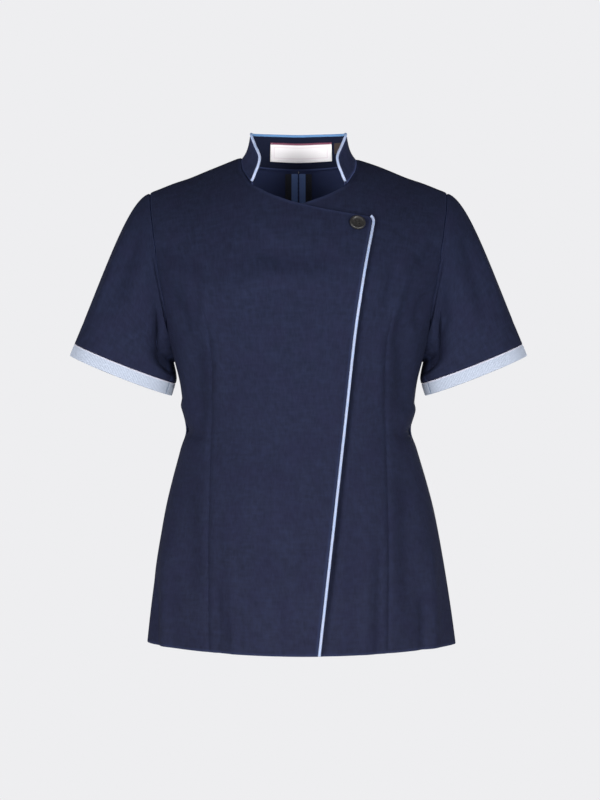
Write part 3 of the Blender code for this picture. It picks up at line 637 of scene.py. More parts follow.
def on_body(x, z):
    """Pattern-plane places of points of the body given as seen from the front or back."""
    x = np.asarray(x, float) - lean(z)
    t = np.asarray(z, float) - BUST_Z
    rise = read(SHOULDER_LINE, np.abs(x), "z") - BUST_Z
    t = np.where(t > 0.0, YOKE * np.arcsin(np.clip(t / rise, 0.0, 1.0)) / (math.pi / 2), t)
    ratio = np.clip(np.abs(x) / half_width(t), 0.0, 1.0)
    angle = np.arcsin(ratio ** (section_power(t, "width_power") / 2))
    return np.stack((np.sign(x) * QUARTER * angle / (math.pi / 2), t), axis=-1)


def places(cuts, sign):
    """Pattern-plane places of a row of cut points, on the sign's half of the blouse."""
    cuts = np.array(cuts, float)
    return on_body(sign * cuts[:, 0], cuts[:, 1])


def shoulder_place(x):
    """Pattern-plane place of a point of the shoulder seam."""
    return on_body(x, read(SHOULDER_LINE, abs(x), "z"))


def hem_level(s):
    """Height of the hem in the pattern plane."""
    drop = HEM_DROP * np.cos(np.clip(np.abs(s) / QUARTER, 0.0, 1.0) * math.pi / 2)
    return HEM_Z - BUST_Z - drop - HEM_TILT * s / QUARTER


def scye(sign, side, steps):
    """Armhole edge from the underarm up to the shoulder tip."""
    points = [(sign * QUARTER, UNDERARM_Z - BUST_Z)]
    points += list(places(SCYE[side][::-1], sign))
    points.append(shoulder_place(sign * SHOULDER_TIP_X))
    return curve_through(points, steps)


def dart_place(sign, t, side):
    """Where a dart's line lies across the pattern plane at heights."""
    if side == FRONT:
        z = np.minimum(BUST_Z + t, FRONT_DART[-1].z)
        x = read(FRONT_DART, z, "x")
    else:
        z = np.minimum(BUST_Z + t, BACK_DART_TOP)
        x = np.full_like(z, BACK_DART_X)
    return on_body(sign * x, z)[..., 0]


def dart_depth(sign, flat, side):
    """How far the cloth is drawn in along a dart, with the finer line of its stitching."""
    s, t = flat[:, 0], flat[:, 1]
    z = BUST_Z + t
    top = FRONT_DART[-1].z if side == FRONT else BACK_DART_TOP
    fade = smooth_step(top, top - DART_FADE, z)
    if side == FRONT:
        line = read(FRONT_DART, z, "line") * smooth_step(top, top - DART_TIP, z)
    else:
        fade = fade * smooth_step(BACK_DART_END, BACK_DART_END + DART_FADE, z)
        line = fade
    across = s - dart_place(sign, t, side)
    pinch = DART_PINCH * fade * bell(across, DART_SPREAD)
    return pinch + DART_LINE_DEPTH * line * bell(across, DART_LINE_SPREAD)


def nearest_on(points, line):
    """Distance from points to a line of points, and how far along it the nearest place is."""
    run = lengths(line)
    best = np.full(len(points), np.inf)
    along = np.zeros(len(points))
    for i in range(len(line) - 1):
        way = line[i + 1] - line[i]
        part = np.clip((points - line[i]) @ way / max(way @ way, TINY), 0.0, 1.0)
        away = np.linalg.norm(points - line[i] - part[:, None] * way, axis=1)
        closer = away < best
        best[closer] = away[closer]
        along[closer] = (run[i] + part * (run[i + 1] - run[i]))[closer]
    return best, along / run[-1]


def crease_height(points, creases):
    """Sum of the creases' heights at points, each fading out at its two ends."""
    total = np.zeros(len(points))
    for spread, height, *path in creases:
        away, along = nearest_on(points, curve_by_step(path, CREASE_STEP))
        fade = smooth_step(0.0, CREASE_RISE, along) * smooth_step(1.0, CREASE_FADE, along)
        total += height * fade * bell(away, spread)
    return total


def clearance(points, outline):
    """Distance of points inside a closed outline from it, below zero outside."""
    found = []
    ax, ay = outline[:, 0], outline[:, 1]
    bx, by = np.roll(ax, -1), np.roll(ay, -1)
    wide, tall = bx - ax, by - ay
    for block in np.array_split(points, max(1, len(points) // POINTS_AT_ONCE)):
        x, y = block[:, :1], block[:, 1:]
        crosses = ((ay > y) != (by > y)) & (x < ax + (y - ay) * wide / np.where(by == ay, TINY, tall))
        way = wide ** 2 + tall ** 2
        part = np.clip(((x - ax) * wide + (y - ay) * tall) / np.maximum(way, TINY), 0.0, 1.0)
        away = np.hypot(x - ax - part * wide, y - ay - part * tall).min(axis=1)
        found.append(np.where(crosses.sum(axis=1) % 2 == 1, away, -away))
    return np.concatenate(found)


def inner_edge(sign, corner, edge, step):
    """A front's free edge, from its top corner down to the hem."""
    line = curve_by_step(edge, step)
    if corner:
        line = np.vstack((curve_by_step(corner + edge[:1], step * CORNER_SHARE)[:-1], line))
    return places(line, sign)


def body_edges(sign, side, hem_start, neck):
    """Hem, side seam, armhole and shoulder seam of a panel, each with whether it is sewn."""
    end = sign * QUARTER
    hem = np.linspace(hem_start, end, round(abs(end - hem_start) / EDGE_STEP))
    armhole = scye(sign, side, ARMHOLE_STEPS)
    return (
        (False, np.column_stack((hem, hem_level(hem)))),
        (True, curve_by_step(((end, hem_level(end)), armhole[0]), EDGE_STEP)),
        (True, armhole),
        (True, curve_by_step((armhole[-1], neck), EDGE_STEP)),
    )


def neck_places(sign, side):
    """Pattern-plane places that the neck seam passes through, from the shoulder on."""
    return [shoulder_place(sign * NECK_X)] + list(places(NECK_SEAM[side], sign))


def front_stretches(sign, top, corner, edge):
    """A front's cut edge in stretches, each with whether it is sewn: hem first, then the side seam."""
    inner = inner_edge(sign, corner, edge, EDGE_STEP)
    hem_start = np.array((inner[-1][0], hem_level(inner[-1][0])))
    neck = neck_places(sign, FRONT)
    neckline = curve_by_step(neck[-1:] + list(places(NECKLINE + top, sign)), EDGE_STEP)
    return body_edges(sign, FRONT, hem_start[0], neck[0]) + (
        (True, curve_by_step(neck, NECK_STEP)),
        (False, neckline if corner else np.vstack((neckline, inner[:1]))),
        (False, np.vstack((inner[:-1], hem_start))),
    )


def back_stretches(sign):
    """Stretches of a back half's cut edge, in the same order."""
    neck = neck_places(sign, BACK)
    seam = curve_by_step(neck, EDGE_STEP)
    return body_edges(sign, BACK, 0.0, neck[0]) + (
        (True, seam),
        (True, curve_by_step((seam[-1], (0.0, hem_level(0.0))), EDGE_STEP)),
    )


def ring_inside(outline, away):
    """The outline's points moved inwards by a distance, where the cloth is wide enough."""
    way = unit(np.roll(outline, -1, axis=0) - np.roll(outline, 1, axis=0))
    turned = np.column_stack((-way[:, 1], way[:, 0]))
    if clearance(outline[:1] + turned[:1] * away, outline)[0] < 0.0:
        turned = -turned
    moved = outline + turned * away
    return moved[clearance(moved, outline) > away * RING_ROOM]


def cloth_places(stretches, sign, side):
    """Outline and inner places of a panel's mesh in the pattern plane, close together at edges and darts."""
    outline = np.vstack([points[:-1] for _, points in stretches])
    rows = np.arange(math.floor((HEM_Z - HEM_DROP - BUST_Z) / STEP), math.ceil(YOKE / STEP)) * STEP
    columns = np.arange(-math.ceil(QUARTER / STEP), math.ceil(QUARTER / STEP) + 1) * STEP
    found = []
    for i, t in enumerate(rows):
        line = float(dart_place(sign, t, side))
        row = columns + STEP / 2 * (i % 2)
        row = row[np.abs(row - line) > DART_COLUMNS[-1] + STEP * DART_ROOM]
        row = np.concatenate((row, line + np.array(DART_COLUMNS)))
        found.append(np.column_stack((row, np.full(len(row), t))))
    grid = np.vstack(found)
    grid = grid[clearance(grid, outline) > RINGS[-1] + STEP * EDGE_ROOM]
    rings = [ring_inside(outline, away) for away in RINGS]
    return outline, np.vstack(rings + [grid])


def boundary(faces):
    """Directed edges that only one face has."""
    edges = {(a, b) for face in faces for a, b in zip(face, face[1:] + face[:1])}
    return [(a, b) for a, b in edges if (b, a) not in edges]


def shell(name, outer, normals, faces, thickness, chart, press, material):
    """Closes a layer of points into a thin wall of cloth with rounded edges and a chart of the cut piece."""
    count = len(outer)
    rim = boundary(faces)
    after = dict(rim)
    before = {b: a for a, b in rim}
    order = np.array(sorted(after))
    ahead = np.array([after[i] for i in order])
    behind = np.array([before[i] for i in order])
    outwards = unit(np.cross(outer[ahead] - outer[behind], normals[order]))
    outer = outer.copy()
    outer[order] -= outwards * (SEAM_GAP + thickness * EDGE_ROUND)
    inner = outer - normals * thickness
    middle = outer[order] + outwards * thickness * EDGE_ROUND - normals[order] * thickness / 2
    row = {int(i): 2 * count + k for k, i in enumerate(order)}
    solid = [list(face) for face in faces]
    solid += [[i + count for i in reversed(face)] for face in faces]
    for a, b in rim:
        solid.append([b, a, row[a], row[b]])
        solid.append([row[b], row[a], a + count, b + count])
    points = np.vstack((outer, inner, middle)) * MM
    charted = np.vstack((chart, chart, chart[order])) * MM
    edge_shading_values = np.concatenate((press, press, press[order]))
    outside = np.concatenate((np.ones(count), np.zeros(count), np.full(len(order), 0.5)))
    mesh = bpy.data.meshes.new(name)
    mesh.from_pydata(points.tolist(), [], solid)
    corners = np.empty(len(mesh.loops), dtype=np.int32)
    mesh.loops.foreach_get("vertex_index", corners)
    layer = mesh.uv_layers.new(name="UVMap")
    layer.data.foreach_set("uv", charted[corners].ravel())
    # This mask carries painted light: highlight along the cloth's seams and edges, and shade beside the
    # cuffs' seam
    for label, values in (("press", edge_shading_values), ("outside", outside)):
        mesh.attributes.new(label, "FLOAT", "POINT").data.foreach_set("value", values.astype(np.float32))
    mesh.shade_smooth()
    return keep(name, mesh, material)


def keep(name, mesh, material=None):
    """Makes an object of a mesh, with its material, in the scene."""
    if material is not None:
        mesh.materials.clear()
        mesh.materials.append(material)
    piece = bpy.data.objects.new(name, mesh)
    bpy.context.scene.collection.objects.link(piece)
    return piece


def settle(piece, slot, *nodes):
    """Hangs a piece on the body that it rides on and hides the solids that it stands for. Its slot is not
    used.
    """
    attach(piece, BODY)
    if nodes:
        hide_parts(*nodes)


def lap_rise(x):
    """How far the right front stands off the body where it passes over the left front."""
    return LAP_STAND * smooth_step(LAP_START_X, LAP_FULL_X, x)


def lay(name, outer, normals, faces, thickness, chart, press, material, slot, node=None):
    """Makes a sheet of cloth on a layer of points, with its chart of distances, hangs it on the body and
    hides its solid.
    """
    chart = np.column_stack(chart)
    piece = shell(name, outer, normals.reshape(-1, 3), faces, thickness / MM, chart, press, material)
    settle(piece, slot, *([node] if node else []))


def facing_depth(flat, z):
    """How deep the facing's edge shows through beside the lap's edge."""
    away, _ = nearest_on(flat, inner_edge(-1, LAP_CORNER, LAP_EDGE, FACING_STEP))
    low = smooth_step(FACING_HEM_START, FACING_HEM_FULL, z)
    depth = FACING_DEPTH + (FACING_HEM_DEPTH - FACING_DEPTH) * low
    return depth * bell(away - FACING_WIDTH, FACING_SPREAD)


def panel(name, stretches, sign, side, over, creases, material, sizes):
    """One body panel as a shell with its darts, creases and sewn edges."""
    outline, inner = cloth_places(stretches, sign, side)
    flat = [Vector((float(x), float(y))) for x, y in np.vstack((outline, inner))]
    flat, _, faces, _, _, _ = delaunay_2d_cdt(flat, [], [list(range(len(outline)))], 1, 1e-4)
    flat = np.array([tuple(p) for p in flat])
    faces = [list(face) if side == FRONT else list(reversed(face)) for face in faces]
    points, normals = body_at(flat, side)
    seen = points[:, [0, 2]]
    rise = -dart_depth(sign, flat, side) + crease_height(seen, creases) * sizes.crease_strength
    if over:
        rise += lap_rise(points[:, 0]) - facing_depth(flat, points[:, 2])
    press = np.zeros(len(flat))
    for k, (sewn, line) in enumerate(stretches):
        away, _ = nearest_on(flat, line)
        depth = SEAM_DEPTH if sewn else FOLD_DEPTH
        if k == ARMHOLE_STRETCH:
            depth = armhole_depth(points[:, 2])
        elif k == SIDE_STRETCH:
            depth = SEAM_DEPTH * smooth_step(UNDERARM_Z, UNDERARM_Z - SIDE_SEAM_FADE, points[:, 2])
        rise -= depth * bell(away, SEAM_SPREAD)
        # Painted highlight along the panel's seams and edges
        press = np.maximum(press, bell(away, EDGE_SHADING_SPREAD))
    outer = points + normals * rise[:, None]
    lay(name, outer, normals, faces, sizes.cloth, flat.T, press, material, "navy_cloth", name)


def grid_faces(rows, count, closed):
    """Four-sided faces of a grid of points, joined end to end where it is closed."""
    faces = []
    for r in range(rows - 1):
        low, high = r * count, (r + 1) * count
        for c in range(count if closed else count - 1):
            after = (c + 1) % count
            faces.append([low + c, low + after, high + after, high + c])
    return faces


def grid_normals(grid, closed, centres):
    """Unit normals of a grid of points, turned away from each row's centre."""
    if closed:
        across = np.roll(grid, -1, axis=1) - np.roll(grid, 1, axis=1)
    else:
        across = np.gradient(grid, axis=1)
    normals = unit(np.cross(across, np.gradient(grid, axis=0)))
    away = np.sum(normals * (grid - centres[:, None, :]), axis=2)
    return np.where(away[..., None] < 0.0, -normals, normals)


def outward_faces(grid, normals, closed):
    """Faces of a grid, wound so that they face the way its normals point."""
    rows, count, _ = grid.shape
    faces = grid_faces(rows, count, closed)
    a, b, c = (grid.reshape(-1, 3)[faces[0][k]] for k in range(3))
    if np.cross(b - a, c - a) @ normals.reshape(-1, 3)[faces[0][0]] < 0.0:
        faces = [face[::-1] for face in faces]
    return faces


def armhole_ring(sign, half):
    """The whole armhole, up the front from the underarm and down the back, with the body's directions."""
    there = body_at(scye(sign, FRONT, half), FRONT)
    behind = body_at(scye(sign, BACK, half), BACK)
    return [np.vstack((first, last[-2:0:-1])) for first, last in zip(there, behind)]


def armhole_depth(z):
    """How deep the armhole seam lies, fading out under the arm, where the sleeve folds back on the body."""
    return SEAM_DEPTH * smooth_step(UNDERARM_Z, UNDERARM_Z + ARMHOLE_FADE, z)


def cuff_ring(sign, down, out, wide, deep, count):
    """An oval ring across the end of the sleeve, from the underarm up the front."""
    centre = np.array((sign * (CUFF_SEAM_X + out), 0.0, CUFF_SEAM_Z - down))
    across = np.array((sign * math.cos(SLEEVE_TILT), 0.0, math.sin(SLEEVE_TILT)))
    angle = 2 * math.pi * np.arange(count) / count
    u = -np.sign(np.cos(angle)) * np.abs(np.cos(angle)) ** (2 / CUFF_POWER)
    v = -np.sign(np.sin(angle)) * np.abs(np.sin(angle)) ** (2 / CUFF_POWER)
    sag = -v[:, None] ** 2 * np.array((0.0, 0.0, CUFF_SAG))
    return centre, centre + u[:, None] * across * wide + v[:, None] * np.array((0.0, deep, 0.0)) + sag


def edge_rows(length, step):
    """Distances down a piece, close together at its two ends."""
    middle = np.linspace(RINGS[-1] + step, length - RINGS[-1] - step, round(length / step) - 1)
    return np.concatenate(((0.0,), RINGS, middle, length - np.array(RINGS[::-1]), (length,)))


def sleeve(name, sign, material, sizes):
    """A sleeve: a tube from the armhole to the cuff seam, with its underarm seam, hem line and creases."""
    count = SLEEVE_COLUMNS
    ring, seam_ways = armhole_ring(sign, count // 2)
    start = ring + np.array((sign * SEAM_GAP, 0.0, 0.0))
    _, end = cuff_ring(sign, 0.0, 0.0, CUFF_HALF_WIDTH, CUFF_HALF_DEPTH, count)
    angle = 360.0 * np.arange(count) / count
    turn = np.minimum(angle, 360.0 - angle)
    facing = np.where(angle < 180.0, FRONT, BACK)
    out, forward, up, pull, tilt = (read(SLEEVE_LEAVES, turn, column) for column in Leave._fields[1:])
    leave = np.column_stack((sign * out, facing * forward, up))
    tilt = np.radians(tilt)
    arrive = np.column_stack((sign * np.sin(tilt), np.zeros(count), -np.cos(tilt))) * pull[:, None]
    rows = edge_rows(SLEEVE_LENGTH, STEP)
    grid = np.array([hermite(start, end, leave, arrive, row / SLEEVE_LENGTH) for row in rows])
    normals = grid_normals(grid, True, grid.mean(axis=1))
    likeness = np.sum(normals[0] * seam_ways, axis=1)
    near = 1.0 - smooth_step(0.0, SLEEVE_BLEND, rows)
    share = near[:, None] * smooth_step(SLEEVE_LIKENESS, 0.0, likeness)
    normals = unit(normals * (1.0 - share[..., None]) + seam_ways[None] * share[..., None])
    along = np.repeat(rows, count)
    around = np.tile(SLEEVE_ROUND * np.arange(count) / count, len(rows))
    rise = np.zeros(len(along))
    for turns in (-1, 0, 1):
        rise += crease_height(np.column_stack((around + turns * SLEEVE_ROUND, along)), SLEEVE_CREASES[sign])
    rise *= sizes.crease_strength
    rise -= np.tile(armhole_depth(start[:, 2]), len(rows)) * bell(along, SEAM_SPREAD)
    rise -= SLEEVE_HEM_DEPTH * bell(SLEEVE_LENGTH - SLEEVE_HEM - along, SLEEVE_HEM_SPREAD)
    seam = SLEEVE_ROUND * SLEEVE_SEAM_TURN / 360.0 * along / SLEEVE_LENGTH
    from_seam = np.minimum(np.abs(around - seam), SLEEVE_ROUND - np.abs(around - seam))
    rise -= SEAM_DEPTH * bell(from_seam, SEAM_SPREAD)
    # Painted highlight along the sleeve's underarm seam and the armhole
    press = np.maximum(bell(from_seam, EDGE_SHADING_SPREAD), bell(along, EDGE_SHADING_SPREAD))
    faces = outward_faces(grid, normals, True)
    outer = grid.reshape(-1, 3) + normals.reshape(-1, 3) * rise[:, None]
    lay(name, outer, normals, faces, sizes.cloth, (around, -along), press, material, "navy_cloth", name)


def cuff(name, sign, material, sizes):
    """The light band round the end of a sleeve, ribbed across by a node tree."""
    count = CUFF_COLUMNS
    length = CUFF_DROP - SEAM_GAP
    middle = np.linspace(CUFF_MIDDLE_START, length - CUFF_MIDDLE_END, CUFF_MIDDLE_ROWS)
    rows = np.concatenate((CUFF_TOP_ROWS, middle, (length - CUFF_LAST_ROW, length)))
    grid, centres = [], []
    for row in rows:
        part = row / length
        flare = CUFF_FLARE * part - CUFF_TUCK * bell(row, CUFF_TUCK_SPREAD)
        wide, deep = CUFF_HALF_WIDTH + flare, CUFF_HALF_DEPTH + flare
        centre, ring = cuff_ring(sign, SEAM_GAP + row, CUFF_OUT * part, wide, deep, count)
        grid.append(ring)
        centres.append(centre)
    grid = np.array(grid)
    normals = grid_normals(grid, True, np.array(centres))
    run = lengths(np.vstack((grid[-1], grid[-1][:1])))
    around = np.tile(run[:-1], len(rows))
    seam = run[round(count * SLEEVE_SEAM_TURN / 360.0)]
    # Nearness to the underarm seam: it sinks the seam and carries painted shade onto the band beside it
    press = bell(around - seam, CUFF_SEAM_SPREAD)
    ways = normals.reshape(-1, 3)
    outer = grid.reshape(-1, 3) - ways * press[:, None] * CUFF_SEAM_DEPTH
    faces = outward_faces(grid, normals, True)
    chart = np.column_stack((around, -np.repeat(rows, count)))
    base = shell(name + "_band", outer, ways, faces, sizes.cuff_cloth / MM, chart, press, material)
    pitch = run[-1] * MM / round(run[-1] * MM / sizes.rib_pitch)
    piece = grown(name + "_ribbed", base, rib_tree(), {"Pitch": pitch, "Height": sizes.rib_height}, material)
    settle(piece, "light_blue_cloth", name)


def stand_base(stand, sign):
    """Where a row of the collar table meets the body."""
    z = read(SHOULDER_LINE, stand.base_x, "z") if stand.base_z is None else stand.base_z
    s, t = on_body(sign * stand.base_x, z)
    return body_point(s, t, stand.side)


def collar_grid(columns, rows, foot=0.0):
    """Outer face of the collar, from its right front end round the back to its left front end."""
    half_base = np.array([stand_base(stand, 1) for stand in COLLAR_STANDS])
    half_top = np.array([(stand.top_x, stand.top_y, stand.top_z) for stand in COLLAR_STANDS])
    mirror = np.array((-1.0, 1.0, 1.0))
    base = curve_through(np.vstack((half_base[:0:-1] * mirror, half_base)), columns)
    top = curve_through(np.vstack((half_top[:0:-1] * mirror, half_top)), columns)
    tall = np.linalg.norm(top - base, axis=1)
    away = unit((base - np.array((0.0, SHOULDER_Y, 0.0))) * np.array((1.0, 1.0, 0.0)))
    low = base + (top - base) / tall[:, None] * COLLAR_SEAT
    heights = np.linspace(0.0, 1.0, rows)
    if foot:
        heights = np.concatenate(((-foot,), heights))
    grid = []
    for height in heights:
        sag = COLLAR_SAG * math.sin(math.pi * max(height, 0.0)) * np.abs(away[:, :1])
        sag = sag * np.minimum(tall / COLLAR_SAG_HEIGHT, 1.0)[:, None]
        grid.append(low + (top - low) * height - away * sag)
    grid = np.array(grid)
    centres = np.array([(0.0, SHOULDER_Y, level) for level in grid[:, :, 2].mean(axis=1)])
    return grid, grid_normals(grid, False, centres)


def collar(material, sizes):
    """The stand collar, with a groove along its top edge and painted highlight along its top and foot, sewn
    down at the neck.
    """
    grid, normals = collar_grid(COLLAR_COLUMNS, COLLAR_ROWS, COLLAR_FOOT)
    rows = len(grid)
    tall = np.linalg.norm(grid[-1] - grid[0], axis=1)
    whole = 1.0 + COLLAR_FOOT
    height = np.concatenate(((0.0,), np.linspace(COLLAR_FOOT, whole, rows - 1))) / whole
    from_base = (height[:, None] * tall).ravel()
    from_top = ((1.0 - height[:, None]) * tall).ravel()
    rise = -COLLAR_EDGE_DEPTH * bell(from_top, SEAM_SPREAD)
    # Painted highlight along the collar's top and foot
    press = np.maximum(bell(from_base, EDGE_SHADING_SPREAD), bell(from_top, EDGE_SHADING_SPREAD))
    outer = grid.reshape(-1, 3) + normals.reshape(-1, 3) * rise[:, None]
    faces = outward_faces(grid, normals, False)
    chart = (np.tile(lengths(grid[0]), rows), from_base)
    lay("collar", outer, normals, faces, sizes.collar_cloth, chart, press, material, "navy_cloth", "collar")


def neck_seam(material):
    """The rolled seam between collar and body, which closes the gap round the neck."""
    grid, normals = collar_grid(COLLAR_COLUMNS, COLLAR_ROWS)
    line = grid[0] - normals[0] * NECK_CORD - unit(grid[1] - grid[0]) * (NECK_CORD - NECK_CORD_SINK)
    line = line[NECK_CORD_ENDS:-NECK_CORD_ENDS]
    settle(cord("neck_seam", line, NECK_CORD * MM, NECK_CORD_SIDES, material), "navy_cloth")


def path_object(name, points):
    """A line of points, in millimetres, for a node tree to build on."""
    mesh = bpy.data.meshes.new(name)
    mesh.from_pydata((np.asarray(points) * MM).tolist(), [(i, i + 1) for i in range(len(points) - 1)], [])
    return keep(name, mesh)


def grown(name, base, tree, settings, material):
    """Runs a node tree on an object and keeps the result as a plain mesh of its own."""
    modifier = base.modifiers.new(tree.name, "NODES")
    modifier.node_group = tree
    settings = {**settings, "Material": material}
    for item in tree.interface.items_tree:
        if item.in_out == "INPUT" and item.name in settings:
            modifier[item.identifier] = settings[item.name]
    graph = bpy.context.evaluated_depsgraph_get()
    mesh = bpy.data.meshes.new_from_object(base.evaluated_get(graph), depsgraph=graph)
    base.modifiers.remove(modifier)
    old = base.data
    bpy.data.objects.remove(base)
    bpy.data.meshes.remove(old)
    mesh.name = name
    return keep(name, mesh)


def add(tree, kind, inputs=None, **settings):
    """Adds a node, sets its properties, and fills or links its inputs, given by name or place."""
    made = tree.nodes.new(kind)
    for name, value in settings.items():
        setattr(made, name, value)
    for key, value in (inputs or {}).items():
        if isinstance(value, bpy.types.NodeSocket):
            tree.links.new(value, made.inputs[key])
        else:
            made.inputs[key].default_value = value
    return made


def cord(name, points, radius, sides, material):
    """A round cord along a line of points, swept by a node tree, with its radius in metres."""
    line = path_object(name + "_path", points)
    return grown(name, line, cord_tree(), {"Radius": radius, "Sides": sides}, material)


def new_tree(name, **sockets):
    """A geometry node tree with named inputs, and the sockets that give them."""
    tree = bpy.data.node_groups.new(name, "GeometryNodeTree")
    for label, kind in {"Geometry": "Geometry", **sockets, "Material": "Material"}.items():
        tree.interface.new_socket(label, in_out="INPUT", socket_type="NodeSocket" + kind)
    tree.interface.new_socket("Geometry", in_out="OUTPUT", socket_type="NodeSocketGeometry")
    return tree, tree.nodes.new("NodeGroupInput").outputs


def end_tree(tree, given, geometry):
    """Ends a tree in plain smooth mesh with its material."""
    plain = add(tree, "GeometryNodeRealizeInstances", {"Geometry": geometry})
    smooth = add(tree, "GeometryNodeSetShadeSmooth", {"Geometry": plain.outputs[0]})
    inputs = {"Geometry": smooth.outputs[0], "Material": given["Material"]}
    finish = add(tree, "GeometryNodeSetMaterial", inputs)
    out = tree.nodes.new("NodeGroupOutput")
    tree.links.new(finish.outputs[0], out.inputs[0])
    return tree


def maths(tree, operation, first, second=None):
    """The result of an operation on one or two values."""
    inputs = {0: first} if second is None else {0: first, 1: second}
    return add(tree, "ShaderNodeMath", inputs, operation=operation).outputs[0]


def axes(tree, vector):
    """The three parts of a place."""
    return add(tree, "ShaderNodeSeparateXYZ", {0: vector}).outputs


def held_value(tree, name, kind="FLOAT"):
    """What a mesh holds under a name."""
    return add(tree, "GeometryNodeInputNamedAttribute", {"Name": name}, data_type=kind).outputs[0]


def store(tree, geometry, name, value, **settings):
    """The geometry with a value stored on it under a name."""
    inputs = {"Geometry": geometry, "Name": name, "Value": value}
    return add(tree, "GeometryNodeStoreNamedAttribute", inputs, **settings).outputs[0]


def rib_tree():
    """Raises ribs across a band, by the distance round it that its chart holds."""
    tree, given = new_tree("Cuff ribs", Pitch="Float", Height="Float")
    around = axes(tree, held_value(tree, "UVMap", "FLOAT_VECTOR"))["X"]
    phase = maths(tree, "MULTIPLY", maths(tree, "DIVIDE", around, given["Pitch"]), 2 * math.pi)
    lift = maths(tree, "MULTIPLY", maths(tree, "COSINE", phase), given["Height"])
    shown = maths(tree, "MULTIPLY", lift, held_value(tree, "outside"))
    normal = tree.nodes.new("GeometryNodeInputNormal").outputs[0]
    offset = add(tree, "ShaderNodeVectorMath", {0: normal, "Scale": shown}, operation="SCALE")
    inputs = {"Geometry": given["Geometry"], "Offset": offset.outputs[0]}
    return end_tree(tree, given, add(tree, "GeometryNodeSetPosition", inputs).outputs[0])


def cord_tree():
    """Sweeps a round cord along a line, charted by its length and the way round it."""
    tree, given = new_tree("Cord", Radius="Float", Sides="Int")
    line = add(tree, "GeometryNodeMeshToCurve", {"Mesh": given["Geometry"]}).outputs[0]
    inputs = {"Resolution": given["Sides"], "Radius": given["Radius"]}
    ring = add(tree, "GeometryNodeCurvePrimitiveCircle", inputs).outputs[0]
    curves = []
    for curve, name in ((line, "along"), (ring, "around")):
        length = tree.nodes.new("GeometryNodeSplineParameter").outputs["Length"]
        curves.append(store(tree, curve, name, length, data_type="FLOAT"))
    inputs = {"Curve": curves[0], "Profile Curve": curves[1], "Fill Caps": True}
    swept = add(tree, "GeometryNodeCurveToMesh", inputs).outputs[0]
    inputs = {"X": held_value(tree, "along"), "Y": held_value(tree, "around")}
    chart = add(tree, "ShaderNodeCombineXYZ", inputs).outputs[0]
    return end_tree(tree, given, store(tree, swept, "UVMap", chart, data_type="FLOAT2", domain="CORNER"))


def stitch_tree():
    """Lays stitches a pitch apart along a line."""
    tree, given = new_tree("Stitches", Pitch="Float", Length="Float", Thread="Float")
    line = add(tree, "GeometryNodeMeshToCurve", {"Mesh": given["Geometry"]})
    inputs = {"Curve": line.outputs[0], "Length": given["Pitch"]}
    spaced = add(tree, "GeometryNodeResampleCurve", inputs, mode="LENGTH")
    ball = add(tree, "GeometryNodeMeshUVSphere", {"Segments": 6, "Rings": 5, "Radius": 0.5})
    inputs = {"X": given["Length"], "Y": given["Thread"], "Z": given["Thread"]}
    size = add(tree, "ShaderNodeCombineXYZ", inputs)
    tangent = tree.nodes.new("GeometryNodeInputTangent")
    turn = add(tree, "FunctionNodeAlignRotationToVector", {"Vector": tangent.outputs[0]}, axis="X")
    placed = add(tree, "GeometryNodeInstanceOnPoints", {
        "Points": spaced.outputs[0],
        "Instance": ball.outputs[0],
        "Rotation": turn.outputs[0],
        "Scale": size.outputs[0],
    })
    return end_tree(tree, given, placed.outputs[0])


def shader(name, roughness, specular, sheen=0.0, sheen_tint=(1.0, 1.0, 1.0), sheen_roughness=0.5, coat=0.0):
    """A new material with its principled shader set up, and its node tree."""
    material = bpy.data.materials.new(name)
    material.use_nodes = True
    tree = material.node_tree
    surface = tree.nodes["Principled BSDF"]
    for socket, value in (
        ("Roughness", roughness),
        ("Specular IOR Level", specular),
        ("Sheen Weight", sheen),
        ("Sheen Tint", (*sheen_tint, 1.0)),
        ("Sheen Roughness", sheen_roughness),
        ("Coat Weight", coat),
    ):
        surface.inputs[socket].default_value = value
    return material, tree, surface


def noise(tree, where, scale, detail, roughness=0.5):
    """Cloudy values over places."""
    inputs = {"Vector": where, "Scale": scale, "Detail": detail, "Roughness": roughness}
    return add(tree, "ShaderNodeTexNoise", inputs).outputs[0]


def wave(tree, where, scale, direction, distortion, detail=2.0, detail_scale=1.0):
    """Parallel lines over places, as of yarns or loops."""
    inputs = {"Vector": where, "Scale": scale, "Distortion": distortion}
    inputs |= {"Detail": detail, "Detail Scale": detail_scale}
    return add(tree, "ShaderNodeTexWave", inputs, wave_type="BANDS", bands_direction=direction).outputs[0]


def stretched(tree, where, scale):
    """Places drawn out or squeezed along each axis."""
    return add(tree, "ShaderNodeMapping", {"Vector": where, "Scale": scale}).outputs[0]


def chart_of(tree):
    """Distances over the cut piece, in metres."""
    return add(tree, "ShaderNodeUVMap", uv_map="UVMap").outputs[0]


def place_of(tree):
    """Places on the piece, in metres."""
    return tree.nodes.new("ShaderNodeTexCoord").outputs["Object"]


def painted(tree, name):
    """What the piece's mesh holds under a name."""
    return add(tree, "ShaderNodeAttribute", attribute_name=name).outputs["Fac"]


def mixed(tree, factor, low, high):
    """A colour between two, by a factor."""
    inputs = {0: factor, 6: low, 7: high}
    return add(tree, "ShaderNodeMix", inputs, data_type="RGBA").outputs[2]


def ranged(tree, value, low, high, to_low=0.0, to_high=1.0):
    """A value mapped from one range to another."""
    inputs = {"Value": value, "From Min": low, "From Max": high, "To Min": to_low, "To Max": to_high}
    return add(tree, "ShaderNodeMapRange", inputs).outputs[0]


def bump(tree, surface, height, distance, strength=1.0, below=None):
    """Lays a bump on a surface, over another one if there is one."""
    inputs = {"Strength": strength, "Distance": distance, "Height": height}
    if below is not None:
        inputs["Normal"] = below
    made = add(tree, "ShaderNodeBump", inputs)
    tree.links.new(made.outputs[0], surface.inputs["Normal"])
    return made.outputs[0]


